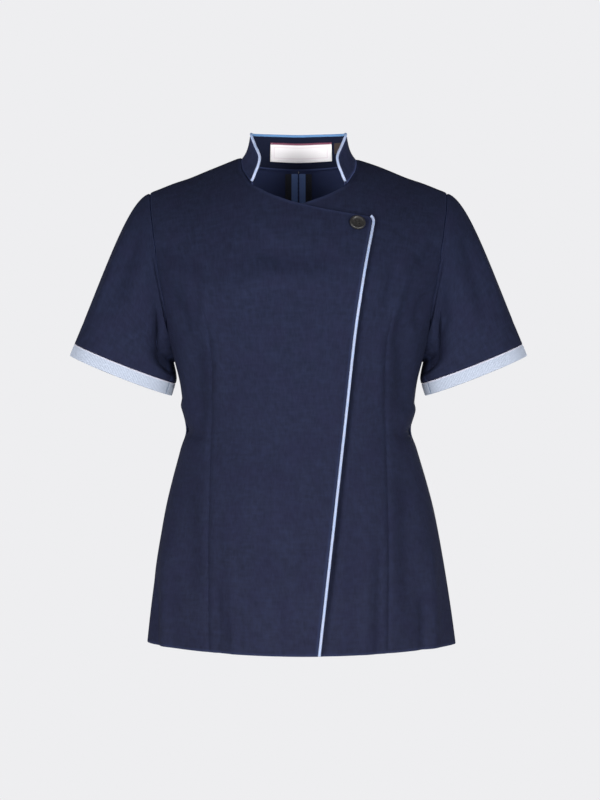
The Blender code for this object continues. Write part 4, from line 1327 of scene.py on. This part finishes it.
def rgba(colour, factor=1.0):
    """A colour with full cover, made lighter or darker by a factor."""
    return (*(part * factor for part in colour), 1.0)


# A colour laid over others: its share goes from weak to strong while a value goes from low to high
Layer = namedtuple("Layer", "value low high colour weak strong", defaults=(0.0, 1.0))


def dye(tree, surface, base, layers):
    """Gives a surface its base colour with layers of colour over it."""
    for layer in layers:
        share = ranged(tree, layer.value, layer.low, layer.high, layer.weak, layer.strong)
        base = mixed(tree, share, base, layer.colour)
    tree.links.new(base, surface.inputs["Base Color"])


def tinted(colour, tint):
    """A colour with each of its parts multiplied by the tint's."""
    return tuple(part * scale for part, scale in zip(colour, tint))


def cloth_material(name, colour, sizes, wrong_side_and_light=WRONG_SIDE_AND_LIGHT):
    """Navy twill: diagonal lines, uneven yarns, cloudy patches, painted sheen at the hem and highlight at
    seams and edges, paler wrong side with painted light.
    """
    material, tree, surface = shader(name, 0.9, 0.08)
    chart, where = chart_of(tree), place_of(tree)
    cloud = noise(tree, where, 17.0, 2.0, 0.55)
    mottle = noise(tree, where, 80.0, 5.0, 0.70)
    violet = noise(tree, where, 34.0, 3.0)
    yarn = noise(tree, stretched(tree, chart, (1.0, 0.12, 1.0)), 900.0, 3.0)
    twill = wave(tree, chart, WAVE_TURN / sizes.twill_pitch, "DIAGONAL", 1.2, 2.0, 0.4)
    dark, pale = rgba(colour, 0.35), rgba(colour, 1.9)
    layers = [
        # Painted sheen: the cloth grows paler and greyer towards the hem
        Layer(axes(tree, where)["Z"], -0.12, -0.62, rgba(tinted(colour, HEM_SHEEN_TINT))),
        Layer(cloud, 0.34, 0.66, rgba(colour, 0.2), 0.0, 0.15),
        Layer(mottle, 0.34, 0.50, dark, 0.17, 0.0),
        Layer(mottle, 0.50, 0.68, pale, 0.0, 0.22),
    ]
    for scale in ((0.30, 1.0, 1.0), (1.0, 0.30, 1.0)):
        slub = noise(tree, stretched(tree, chart, scale), 260.0, 3.0)
        layers.append(Layer(slub, 0.32, 0.50, dark, 0.17, 0.0))
        layers.append(Layer(slub, 0.50, 0.68, pale, 0.0, 0.20))
    layers += [
        Layer(violet, 0.42, 0.66, rgba(tinted(colour, VIOLET_TINT)), 0.0, 0.35),
        Layer(yarn, 0.35, 0.75, rgba(colour, 1.5), 0.0, 0.30),
        Layer(twill, 0.0, 1.0, rgba(colour, 0.45), 0.22, 0.0),
        # Painted highlight along seams and edges
        Layer(painted(tree, "press"), 0.6, 1.0, rgba(colour, 2.0), 0.0, 0.7),
        # Paler wrong side, with painted light that brightens the shaded inside
        Layer(painted(tree, "outside"), 0.45, 0.05, rgba(colour, wrong_side_and_light)),
    ]
    dye(tree, surface, rgba(colour), layers)
    tree.links.new(ranged(tree, yarn, 0.3, 0.7, 0.95, 0.82), surface.inputs["Roughness"])
    lines = bump(tree, surface, twill, 0.00006, 0.7)
    bump(tree, surface, yarn, 0.00005, 0.5, lines)
    return material


def band_material(colour, sizes):
    """Light blue rib cloth of the cuffs: white and blue lines that follow the ribs, painted highlight along
    the top edge and painted shade beside the underarm seam.
    """
    material, tree, surface = shader("cuff_rib", 0.62, 0.35, 0.12, (0.9, 0.94, 1.0))
    chart = chart_of(tree)
    around, down, _ = axes(tree, chart)
    ribs = maths(tree, "COSINE", maths(tree, "MULTIPLY", around, 2 * math.pi / sizes.rib_pitch))
    grain = noise(tree, chart, 1300.0, 2.0)
    dye(tree, surface, rgba(colour, 0.80), (
        Layer(ribs, -0.7, 0.7, rgba(colour, 1.08)),
        Layer(grain, 0.4, 0.75, rgba(colour, 0.72), 0.0, 0.35),
        # Painted highlight: a pale pinkish line along the band's top edge
        Layer(down, -0.0022, -0.0006, (0.47, 0.44, 0.52, 1.0), 0.0, 0.6),
        # Painted shade beside the underarm seam
        Layer(painted(tree, "press"), 0.2, 1.0, rgba(tinted(colour, CUFF_SEAM_SHADE_TINT)), 0.0, 0.8),
    ))
    bump(tree, surface, grain, 0.0001, 0.5)
    return material


def piping_material(name, pale, deep, front, back):
    """Bias-cut piping: slanted weave, pale in painted light up to a place in front and deeper blue in painted
    shade from one further back.
    """
    material, tree, surface = shader(name, 0.6, 0.35, 0.15, (0.85, 0.92, 1.0), 0.4)
    chart = chart_of(tree)
    weave = wave(tree, chart, 900.0, "DIAGONAL", 1.0)
    dye(tree, surface, rgba(pale), (
        # Painted light in front and painted shade behind the neck
        Layer(axes(tree, place_of(tree))["Y"], front, back, rgba(deep)),
        Layer(noise(tree, chart, 160.0, 3.0), 0.4, 0.75, rgba(deep), 0.0, 0.35),
        Layer(weave, 0.0, 0.5, rgba(deep, 0.6), 0.25, 0.0),
    ))
    bump(tree, surface, weave, 0.00008, 0.7)
    return material


def label_material(white, edge):
    """White woven satin with a dark red top edge and a faint woven border, and nothing written on it."""
    material, tree, surface = shader("label_satin", 0.45, 0.45, 0.1)
    chart = chart_of(tree)
    across, up, _ = axes(tree, chart)
    lines = wave(tree, chart, 1200.0, "Y", 0.6, 1.0)
    tall = LABEL_TALL * MM
    past = []
    for place, half in ((across, (LABEL_PATCH.x_high - LABEL_PATCH.x_low) * MM / 2), (up, tall / 2)):
        from_middle = maths(tree, "ABSOLUTE", maths(tree, "SUBTRACT", place, half))
        past.append(maths(tree, "SUBTRACT", from_middle, half - LABEL_BORDER * MM))
    border = maths(tree, "ABSOLUTE", maths(tree, "MAXIMUM", *past))
    dye(tree, surface, rgba(white), (
        Layer(border, 0.0003, 0.0007, (0.62, 0.42, 0.50, 1.0), 0.30, 0.0),
        Layer(up, tall - 0.0024, tall - 0.0018, rgba(edge)),
        Layer(lines, 0.0, 0.6, (0.5, 0.46, 0.5, 1.0), 0.12, 0.0),
    ))
    bump(tree, surface, lines, 0.00005, 0.6)
    return material


def allowance_material(cloth, thread):
    """Seam allowance: lifted cloth in a bright blue that paints the light falling on it beside the seam, and
    dark grey overlocking towards its edge.
    """
    material, tree, surface = shader("allowance_cloth", 0.7, 0.3, 0.2, (0.6, 0.75, 1.0), 0.4)
    chart = chart_of(tree)
    loops = wave(tree, chart, WAVE_TURN / (OVERLOCK_LOOP * MM), "Y", 0.8)
    start = (ALLOWANCE_WIDTH - OVERLOCK_WIDTH) * MM
    away = maths(tree, "ABSOLUTE", axes(tree, chart)["X"])
    sewn = mixed(tree, ranged(tree, loops, 0.1, 0.9), rgba(thread, 0.6), rgba(thread, 1.1))
    dye(tree, surface, rgba(cloth), (Layer(away, start - 0.0004, start + 0.0004, sewn),))
    bump(tree, surface, loops, 0.0002, 0.8)
    return material


def plain_material(name, colour, roughness, specular, grain, depth, coat=0.0):
    """A finish with a fine grain on it, for thread, tab and button."""
    material, tree, surface = shader(name, roughness, specular, coat=coat)
    fine = noise(tree, place_of(tree), grain, 4.0, 0.6)
    dye(tree, surface, rgba(colour, 0.8), (Layer(fine, 0.35, 0.7, rgba(colour, 1.3)),))
    bump(tree, surface, fine, depth, 0.6)
    return material


def collar_place(x, height):
    """Places on the collar's back, with their outward directions, at an x and a share of its height."""
    grid, normals = collar_grid(COLLAR_COLUMNS, COLLAR_ROWS)
    middle = slice(COLLAR_COLUMNS // 4, 3 * COLLAR_COLUMNS // 4 + 1)
    level = np.clip(height * (COLLAR_ROWS - 1), 0.0, COLLAR_ROWS - 1.001)
    low = int(level)
    part = level - low
    line, ways = (made[low][middle] * (1 - part) + made[low + 1][middle] * part for made in (grid, normals))
    order = np.argsort(line[:, 0])
    place, way = (np.column_stack([np.interp(x, line[order, 0], made[order, axis]) for axis in range(3)])
                  for made in (line, ways))
    return place, unit(way)


def patch_grid(area, lift):
    """Grid of places just inside the collar's back, with the directions that face into the neck."""
    x = np.linspace(area.x_low, area.x_high, TRIM_COLUMNS)
    grid, normals = [], []
    for height in np.linspace(area.height_low, area.height_high, TRIM_ROWS):
        place, way = collar_place(x, height)
        grid.append(place - way * (COLLAR_SOLID + TRIM_GAP + lift))
        normals.append(-way)
    return np.array(grid), np.array(normals)


def patch(name, area, belly, material, slot):
    """A small label or tab lying inside the collar's back, its edges held flat."""
    grid, normals = patch_grid(area, TRIM_CLOTH)
    across = np.linspace(-1.0, 1.0, TRIM_COLUMNS)[None, :]
    up = np.linspace(-1.0, 1.0, TRIM_ROWS)[:, None]
    rise = belly * (1.0 - across ** 4) * (1.0 - up ** 4)
    rise = rise + RIPPLE_HEIGHT * np.sin(across * RIPPLE_TURN) * (1.0 - up ** 2)
    grid = grid + normals * rise[..., None]
    run = lengths(grid[TRIM_ROWS // 2])
    tall = lengths(grid[:, TRIM_COLUMNS // 2])
    chart = (np.tile(run, TRIM_ROWS), np.repeat(tall, TRIM_COLUMNS))
    outer = grid.reshape(-1, 3)
    faces = outward_faces(grid, normals, False)
    press = np.zeros(len(outer))
    lay(name + "_cloth", outer, normals, faces, TRIM_CLOTH * MM, chart, press, material, slot, name)


def label_stitches(material, sizes):
    """Running stitches down the label's two ends and along its foot."""
    corners = ((0, 1), (0, 0), (1, 0), (1, 1))
    x_ends = (LABEL_PATCH.x_low + STITCH_INSET, LABEL_PATCH.x_high - STITCH_INSET)
    h_ends = (LABEL_PATCH.height_low + STITCH_FOOT, LABEL_PATCH.height_high - STITCH_HEAD)
    points = []
    for (a, b), (c, d) in zip(corners, corners[1:]):
        for part in np.linspace(0.0, 1.0, STITCH_PLACES, endpoint=False):
            x = x_ends[a] + (x_ends[c] - x_ends[a]) * part
            height = h_ends[b] + (h_ends[d] - h_ends[b]) * part
            place, way = collar_place(np.array((x,)), height)
            points.append(place[0] - way[0] * (COLLAR_SOLID + TRIM_GAP + STITCH_STAND))
    settings = {"Pitch": sizes.stitch_pitch, "Length": sizes.stitch_length, "Thread": sizes.thread}
    line = path_object("label_seam", points)
    settle(grown("label_stitches", line, stitch_tree(), settings, material), "label")


def collar_piping(material, sizes):
    """Piping along the collar's top and front edges."""
    grid, normals = collar_grid(COLLAR_COLUMNS, COLLAR_ROWS)
    rise = unit(grid[-1] - grid[-2])
    path = grid[-1] - normals[-1] * COLLAR_SOLID / 2 + rise * (COLLAR_PIPING_RADIUS - COLLAR_PIPING_SINK)
    piping("collar_piping", path, COLLAR_PIPING_RADIUS, material, sizes)


def front_piping(material, sizes):
    """Piping down the free edge of the right front, from its top corner to the hem."""
    points, normals = body_at(inner_edge(-1, LAP_CORNER, LAP_EDGE, EDGE_STEP)[1:], FRONT)
    out = unit(np.cross(normals, unit(np.gradient(points, axis=0))))
    path = points + normals * PIPING_STAND + out * (PIPING_RADIUS + PIPING_OUT)
    piping("front_piping", path, PIPING_RADIUS, material, sizes)


def piping(name, path, radius, material, sizes):
    """A cord of covered piping along a path."""
    radius *= MM * sizes.piping_fullness
    settle(cord(name + "_cord", path, radius, PIPING_SIDES, material), "piping", name)


def allowances(material, thread, twill, sizes):
    """The centre-back seam's roll, the allowances laid open inside, and their overlocked edges."""
    rows = np.arange(0.0, -HEM_Z, ALLOWANCE_STEP)
    across = np.linspace(SEAM_CORD + SEAM_CORD_GAP, ALLOWANCE_WIDTH, ALLOWANCE_COLUMNS)
    part = across / ALLOWANCE_WIDTH
    t = on_body(lean(-rows), -rows)[:, 1]
    points, ways = body_at(np.column_stack((np.zeros(len(t)), t)), BACK)
    line = points - ways * (sizes.cloth / MM + SEAM_CORD + SEAM_CORD_GAP)
    settle(cord("back_seam", line, SEAM_CORD * MM, SEAM_CORD_SIDES, twill), "navy_cloth")
    for name, sign in SIDES:
        grid, normals = [], []
        for down in rows:
            place = on_body(sign * across + lean(-down), np.full(len(across), -down))
            points, ways = body_at(place, BACK)
            ripple = ALLOWANCE_WAVE * np.sin(down / ALLOWANCE_WAVE_RUN + sign) * part ** 2
            inwards = sizes.cloth / MM + ALLOWANCE_REST + ALLOWANCE_LIFT * part ** ALLOWANCE_CURL + ripple
            grid.append(points - ways * inwards[:, None])
            normals.append(-ways)
        grid, normals = np.array(grid), np.array(normals)
        outer = grid.reshape(-1, 3)
        faces = outward_faces(grid, normals, False)
        chart = (np.tile(across, len(rows)), np.repeat(-rows, len(across)))
        press = np.zeros(len(outer))
        lay(f"back_allowance_{name}", outer, normals, faces, ALLOWANCE_CLOTH * MM, chart, press, material,
            "navy_cloth")
        zigzag = []
        last = len(across) - 1
        for i, down in enumerate(np.arange(0.0, rows[-1], OVERLOCK_PITCH / 2)):
            column = last if i % 2 else last - OVERLOCK_WIDTH / ALLOWANCE_WIDTH * last
            row = down / rows[-1] * (len(rows) - 1)
            zigzag.append(grid_at(grid, row, column) + grid_at(normals, row, column) * OVERLOCK_STAND)
        settle(cord(f"back_overlock_{name}", zigzag, sizes.thread / 2, OVERLOCK_SIDES, thread), "navy_cloth")


def grid_at(grid, row, column):
    """Place in a grid between its rows and columns."""
    r, c = min(int(row), len(grid) - 2), min(int(column), len(grid[0]) - 2)
    a, b = row - r, column - c
    return ((grid[r][c] * (1 - b) + grid[r][c + 1] * b) * (1 - a)
            + (grid[r + 1][c] * (1 - b) + grid[r + 1][c + 1] * b) * a)


def button_seat():
    """The button's place on the right front, the way it faces, and its two sideways directions."""
    s, t = on_body(BUTTON_X, BUTTON_Z)
    out = body_normal(s, t, FRONT)
    across = unit(np.cross(np.array((0.0, 0.0, 1.0)), out))
    return body_point(s, t, FRONT) + out * BUTTON_STAND, out, across, np.cross(out, across)


def pierce(piece, place, out):
    """Cuts one round hole through the button."""
    bpy.ops.mesh.primitive_cylinder_add(vertices=HOLE_SIDES, radius=HOLE_RADIUS * MM, depth=HOLE_DEPTH * MM,
                                        location=tuple(place * MM))
    cutter = bpy.context.object
    cutter.rotation_mode = "QUATERNION"
    cutter.rotation_quaternion = Vector(tuple(out)).to_track_quat("Z", "Y")
    cut = piece.modifiers.new("hole", "BOOLEAN")
    cut.operation = "DIFFERENCE"
    cut.solver = "EXACT"
    cut.object = cutter
    graph = bpy.context.evaluated_depsgraph_get()
    pierced = bpy.data.meshes.new_from_object(piece.evaluated_get(graph), depsgraph=graph)
    piece.modifiers.clear()
    piece.data = pierced
    bpy.data.objects.remove(cutter)


def button(material):
    """A turned four-hole button with a rolled rim and a dished middle."""
    seat, out, across, up = button_seat()
    form = bmesh.new()
    rings = []
    for turn in BUTTON_PROFILE:
        ring = []
        for k in range(BUTTON_SIDES):
            angle = 2 * math.pi * k / BUTTON_SIDES
            way = across * math.cos(angle) + up * math.sin(angle)
            ring.append(form.verts.new(tuple((seat + out * turn.height + way * turn.radius) * MM)))
        rings.append(ring)
    for low, high in zip(rings, rings[1:]):
        for k in range(BUTTON_SIDES):
            after = (k + 1) % BUTTON_SIDES
            form.faces.new((low[k], low[after], high[after], high[k]))
    form.faces.new(rings[0][::-1])
    form.faces.new(rings[-1])
    bmesh.ops.recalc_face_normals(form, faces=form.faces)
    mesh = bpy.data.meshes.new("button_turned")
    form.to_mesh(mesh)
    form.free()
    piece = keep("button_turned", mesh, material)
    for a, b in ((1, 1), (1, -1), (-1, 1), (-1, -1)):
        pierce(piece, seat + (across * a + up * b) * HOLE_OFFSET + out * HOLE_MIDDLE, out)
    piece.data.shade_smooth()
    piece.data.set_sharp_from_angle(angle=BUTTON_CREASE)
    settle(piece, "button", "button")


def button_thread(material, sizes):
    """Thread laid across the button's holes in two bars."""
    seat, out, across, up = button_seat()
    bars = []
    for b in (1, -1):
        for lane in THREAD_LANES:
            line = []
            for part in np.linspace(-1.0, 1.0, THREAD_PLACES):
                arch = THREAD_ARCH * (1.0 - abs(part) ** 3) - THREAD_DIVE * max(abs(part) - THREAD_TURN, 0.0)
                way = across * HOLE_OFFSET * part + up * (HOLE_OFFSET * b + lane)
                line.append(seat + way + out * (BUTTON_FLOOR + arch))
            bars.append(cord("bar", line, sizes.thread / 2, THREAD_SIDES, material))
    with bpy.context.temp_override(active_object=bars[0], object=bars[0], selected_objects=bars,
                                   selected_editable_objects=bars):
        bpy.ops.object.join()
    bars[0].name = "button_thread"
    settle(bars[0], "button")


def length(name, description, default, low, high, precision=4):
    """A length that a user can change."""
    return FloatProperty(name=name, description=description, default=default, min=low, max=high,
                         precision=precision, subtype="DISTANCE", unit="LENGTH")


def number(name, description, default, low, high):
    """A share, a lens or a light's power that a user can change."""
    return FloatProperty(name=name, description=description, default=default, min=low, max=high)


def tone(name, description, default):
    """A colour that a user can change."""
    return FloatVectorProperty(name=name, description=description, default=default, size=3, min=0.0, max=1.0,
                               subtype="COLOR")


class BlouseSizes(bpy.types.PropertyGroup):
    """Sizes of the cloth and its sewing."""

    cloth: length("Cloth", "Thickness of the body's and sleeves' cloth", 0.0011, 0.0003, 0.0015)
    collar_cloth: length("Collar cloth", "Thickness of the doubled collar", 0.0021, 0.001, 0.0022)
    cuff_cloth: length("Cuff cloth", "Thickness of the folded cuff bands", 0.0016, 0.0008, 0.0018)
    crease_strength: number("Creases", "How deep the cloth's creases are, 1 as in wear", 1.0, 0.0, 2.0)
    twill_pitch: length("Twill pitch", "Distance between the twill's diagonal lines", 0.0007, 0.0002, 0.003)
    rib_pitch: length("Rib pitch", "Distance between the ribs of the cuff bands", 0.0021, 0.001, 0.006)
    rib_height: length("Rib height", "Half the depth between the cuff's ribs", 0.00014, 0.0, 0.0006, 5)
    piping_fullness: number("Piping fullness", "Piping thickness as a share of its solid's", 1.0, 0.6, 1.1)
    stitch_pitch: length("Stitch pitch", "Distance from one stitch to the next", 0.0024, 0.001, 0.006)
    stitch_length: length("Stitch length", "Length of one stitch", 0.0018, 0.0005, 0.005)
    thread: length("Thread", "Thickness of the sewing thread", 0.00034, 0.0001, 0.001, 5)


class BlouseColours(bpy.types.PropertyGroup):
    """Colours of the cloth, trims and backdrop."""

    navy: tone("Navy", "Twill of the body, sleeves and collar", (0.0071, 0.0095, 0.0238))
    # Painted light: the allowances' navy cloth made bright blue where light falls on it beside the seam
    inside: tone("Allowance", "Seam allowances inside the back", (0.13, 0.21, 0.48))
    overlock: tone("Overlocking", "Thread over the allowances' edges", (0.035, 0.038, 0.055))
    cuff: tone("Cuff blue", "Ribbed cuff bands", (0.254, 0.285, 0.350))
    piping_pale: tone("Piping", "Piping in the light", (0.36, 0.40, 0.55))
    piping_deep: tone("Piping shade", "Piping behind the neck and between its yarns", (0.11, 0.25, 0.49))
    label: tone("Label", "Woven neck label", (0.93, 0.90, 0.915))
    label_edge: tone("Label edge", "Line along the label's top", (0.15, 0.008, 0.05))
    tab: tone("Tab", "Small tab beside the label", (0.035, 0.024, 0.022))
    button: tone("Button", "Moulded button", (0.010, 0.0092, 0.0092))
    backdrop: tone("Backdrop", "Floor and surroundings", (0.8550, 0.8550, 0.8714))


class StudioSettings(bpy.types.PropertyGroup):
    """Camera and lights."""

    lens: number("Lens", "Focal length of the camera, in millimetres", 96.92, 20.0, 300.0)
    distance: length("Camera distance", "How far in front of the blouse the camera stands", 2.8, 1.0, 10.0, 2)
    floor_drop: length("Floor", "How far below the shoulders the floor lies", 1.4, 0.7, 2.0, 2)
    floor_radius: length("Floor radius", "Radius of the round floor", 2.6, 1.0, 8.0, 2)
    right_light: number("Right light", "Light on the wearer's right, in watts", 32.0, 0.0, 500.0)
    right_low_light: number("Right low light", "Low light on the right, in watts", 40.0, 0.0, 500.0)
    left_light: number("Left light", "Light on the wearer's left, in watts", 27.0, 0.0, 500.0)
    left_low_light: number("Left low light", "Low light on the left, in watts", 38.0, 0.0, 500.0)
    level_light: number("Level light", "Light behind the camera, in watts", 6.0, 0.0, 500.0)
    back_light: number("Back light", "Wide light behind the blouse, in watts", 28.0, 0.0, 500.0)
    sky_size: IntProperty(name="Sky size", description="Size of the map that the surroundings are sampled by",
                          default=1024, min=256, max=4096)


class BlouseOperator:
    """What every operator of the blouse shares."""

    bl_options = {"REGISTER", "UNDO"}

    def execute(self, context):
        """Builds the pieces with the scene's own sizes and colours."""
        scene = context.scene
        self.build(scene.blouse_sizes, scene.blouse_colours)
        return {"FINISHED"}


def navy_twill(sizes, colours):
    """The navy cloth, made once."""
    return bpy.data.materials.get("navy_twill") or cloth_material("navy_twill", colours.navy, sizes)


def fused_twill(sizes, colours):
    """The navy cloth of the collar, made paler with painted light, and with less of it on its inside."""
    # Painted light: the collar's navy is made paler
    colour = [part * COLLAR_LIGHT_TINT for part in colours.navy]
    return cloth_material("fused_twill", colour, sizes, COLLAR_INSIDE_TINT)


class BLOUSE_OT_fronts(BlouseOperator, bpy.types.Operator):
    """Builds the right front and the left front that it laps over"""

    bl_idname = "blouse.fronts"
    bl_label = "Fronts"

    def build(self, sizes, colours):
        twill = navy_twill(sizes, colours)
        right = front_stretches(-1, LAP_TOP, LAP_CORNER, LAP_EDGE)
        panel("front_right", right, -1, FRONT, True, FRONT_CREASES, twill, sizes)
        left = front_stretches(1, UNDERLAP_TOP, (), UNDERLAP_EDGE)
        panel("front_left", left, 1, FRONT, False, FRONT_CREASES + LAP_TROUGHS, twill, sizes)


class BLOUSE_OT_backs(BlouseOperator, bpy.types.Operator):
    """Builds the two back halves and the allowances of the seam between them"""

    bl_idname = "blouse.backs"
    bl_label = "Backs"

    def build(self, sizes, colours):
        twill = navy_twill(sizes, colours)
        for side, sign in SIDES:
            panel("back_" + side, back_stretches(sign), sign, BACK, False, BACK_CREASES, twill, sizes)
        thread = plain_material("overlock_thread", colours.overlock, 0.7, 0.3, 2500.0, 0.00004)
        allowances(allowance_material(colours.inside, colours.overlock), thread, twill, sizes)


class BLOUSE_OT_sleeves(BlouseOperator, bpy.types.Operator):
    """Builds the two set-in sleeves"""

    bl_idname = "blouse.sleeves"
    bl_label = "Sleeves"

    def build(self, sizes, colours):
        for side, sign in SIDES:
            sleeve("sleeve_" + side, sign, navy_twill(sizes, colours), sizes)


class BLOUSE_OT_cuffs(BlouseOperator, bpy.types.Operator):
    """Builds the light blue cuff bands and their ribs"""

    bl_idname = "blouse.cuffs"
    bl_label = "Cuffs"

    def build(self, sizes, colours):
        material = band_material(colours.cuff, sizes)
        for side, sign in SIDES:
            cuff("cuff_" + side, sign, material, sizes)


class BLOUSE_OT_collar(BlouseOperator, bpy.types.Operator):
    """Builds the stand collar and the rolled seam under it"""

    bl_idname = "blouse.collar"
    bl_label = "Collar"

    def build(self, sizes, colours):
        collar(fused_twill(sizes, colours), sizes)
        neck_seam(navy_twill(sizes, colours))


class BLOUSE_OT_piping(BlouseOperator, bpy.types.Operator):
    """Builds the piping of the collar and of the lapping front edge"""

    bl_idname = "blouse.piping"
    bl_label = "Piping"

    def build(self, sizes, colours):
        pale, deep = colours.piping_pale, colours.piping_deep
        collar_piping(piping_material("collar_piping_cloth", pale, deep, *COLLAR_PIPING_TURN), sizes)
        # Painted shade: the front's piping is a darker copy of the collar's
        pale = [part * FRONT_PIPING_SHADE for part in pale]
        front_piping(piping_material("front_piping_cloth", pale, deep, *FRONT_PIPING_TURN), sizes)


class BLOUSE_OT_labels(BlouseOperator, bpy.types.Operator):
    """Builds the bare neck label, its stitches and the small tab"""

    bl_idname = "blouse.labels"
    bl_label = "Label and tab"

    def build(self, sizes, colours):
        satin = label_material(colours.label, colours.label_edge)
        patch("neck_label", LABEL_PATCH, LABEL_BELLY, satin, "label")
        label_stitches(plain_material("label_thread", colours.label, 0.6, 0.4, 2500.0, 0.00003), sizes)
        tape = plain_material("tab_tape", colours.tab, 0.7, 0.3, 1800.0, 0.00005)
        patch("size_tab", TAB_PATCH, TAB_BELLY, tape, "tab")


class BLOUSE_OT_button(BlouseOperator, bpy.types.Operator):
    """Builds the button and the thread that holds it"""

    bl_idname = "blouse.button"
    bl_label = "Button"

    def build(self, sizes, colours):
        button(plain_material("button_plastic", colours.button, 0.46, 0.36, 420.0, 0.00003, 0.1))
        button_thread(plain_material("button_thread_dark", colours.button, 0.75, 0.3, 2500.0, 0.00003), sizes)


def glow_material(name, colour):
    """A surface as bright as the surroundings wherever it is seen from, so that it leaves no edge."""
    material, _, surface = shader(name, 1.0, 0.0)
    surface.inputs["Base Color"].default_value = (0.0, 0.0, 0.0, 1.0)
    surface.inputs["Emission Color"].default_value = rgba(colour)
    surface.inputs["Emission Strength"].default_value = 1.0
    return material


def area_light(lamp, power):
    """A wide soft light at a place, turned to a target."""
    light = bpy.data.lights.new(lamp.name + "_light", "AREA")
    light.shape = "RECTANGLE"
    light.size = lamp.width
    light.size_y = lamp.height
    light.energy = power
    holder = bpy.data.objects.new(light.name, light)
    holder.location = lamp.place
    holder.rotation_euler = (Vector(lamp.target) - Vector(lamp.place)).to_track_quat("-Z", "Y").to_euler()
    holder.visible_camera = False
    bpy.context.scene.collection.objects.link(holder)


def surroundings(colour, size):
    """A pale room: brightest behind the blouse, as a lit backdrop is, and dimmer overhead."""
    world = bpy.data.worlds.new("studio")
    world.use_nodes = True
    tree = world.node_tree
    _, back, up = axes(tree, tree.nodes.new("ShaderNodeTexCoord").outputs["Generated"])
    room = mixed(tree, ranged(tree, back, *BACK_WALL), rgba(colour), rgba(colour, ROOM_SHADE))
    shade = mixed(tree, ranged(tree, up, *CEILING), room, rgba(colour, ROOM_SHADE * CEILING_SHADE))
    background = tree.nodes["Background"]
    tree.links.new(shade, background.inputs["Color"])
    background.inputs["Strength"].default_value = 1.0
    world.cycles.sampling_method = "MANUAL"
    world.cycles.sample_map_resolution = size
    bpy.context.scene.world = world


class BLOUSE_OT_studio(bpy.types.Operator):
    """Builds the floor, the surroundings, the lights and the camera"""

    bl_idname = "blouse.studio"
    bl_label = "Studio"
    bl_options = {"REGISTER", "UNDO"}

    def execute(self, context):
        scene = context.scene
        studio, colours = scene.blouse_studio, scene.blouse_colours
        scene.view_settings.view_transform = "Standard"
        surroundings(colours.backdrop, studio.sky_size)
        bpy.ops.mesh.primitive_circle_add(vertices=FLOOR_SIDES, radius=studio.floor_radius, fill_type="NGON",
                                          location=(0.0, 0.0, 0.0))
        floor = context.object
        floor.name = "floor"
        for vertex in floor.data.vertices:
            vertex.co.z = -studio.floor_drop
        shade = [part * ROOM_SHADE for part in colours.backdrop]
        floor.data.materials.append(glow_material("pale_floor", shade))
        for lamp in LAMPS:
            area_light(lamp, getattr(studio, lamp.name + "_light"))
        camera = bpy.data.cameras.new("camera")
        camera.lens = studio.lens
        camera.sensor_width = CAMERA_SENSOR
        camera.clip_end = CAMERA_REACH
        holder = bpy.data.objects.new("camera", camera)
        holder.location = (CAMERA_X, -studio.distance, CAMERA_Z)
        holder.rotation_euler = (math.pi / 2, 0.0, 0.0)
        scene.collection.objects.link(holder)
        scene.camera = holder
        return {"FINISHED"}


PIECES = (
    BLOUSE_OT_fronts,
    BLOUSE_OT_backs,
    BLOUSE_OT_sleeves,
    BLOUSE_OT_cuffs,
    BLOUSE_OT_collar,
    BLOUSE_OT_piping,
    BLOUSE_OT_labels,
    BLOUSE_OT_button,
    BLOUSE_OT_studio,
)


class BLOUSE_PT_sidebar(bpy.types.Panel):
    """Lists the blouse's sizes, colours and pieces"""

    bl_idname = "BLOUSE_PT_sidebar"
    bl_label = "Housekeeping blouse"
    bl_space_type = "VIEW_3D"
    bl_region_type = "UI"
    bl_category = "Blouse"

    def draw(self, context):
        for owner in (context.scene.blouse_sizes, context.scene.blouse_colours, context.scene.blouse_studio):
            column = self.layout.column(align=True)
            for name in owner.__annotations__:
                column.prop(owner, name)
        column = self.layout.column(align=True)
        for piece in PIECES:
            column.operator(piece.bl_idname)


CLASSES = (BlouseSizes, BlouseColours, StudioSettings, *PIECES, BLOUSE_PT_sidebar)


def register():
    """Registers the classes and the scene's settings."""
    for item in CLASSES:
        bpy.utils.register_class(item)
    bpy.types.Scene.blouse_sizes = PointerProperty(type=BlouseSizes)
    bpy.types.Scene.blouse_colours = PointerProperty(type=BlouseColours)
    bpy.types.Scene.blouse_studio = PointerProperty(type=StudioSettings)


def unregister():
    """Takes the classes and the scene's settings away again."""
    del bpy.types.Scene.blouse_studio
    del bpy.types.Scene.blouse_colours
    del bpy.types.Scene.blouse_sizes
    for item in reversed(CLASSES):
        bpy.utils.unregister_class(item)


def main():
    """Builds the whole blouse in its studio."""
    register()
    for piece in PIECES:
        group, name = piece.bl_idname.split(".")
        getattr(getattr(bpy.ops, group), name)()


if __name__ == "__main__":
    main()
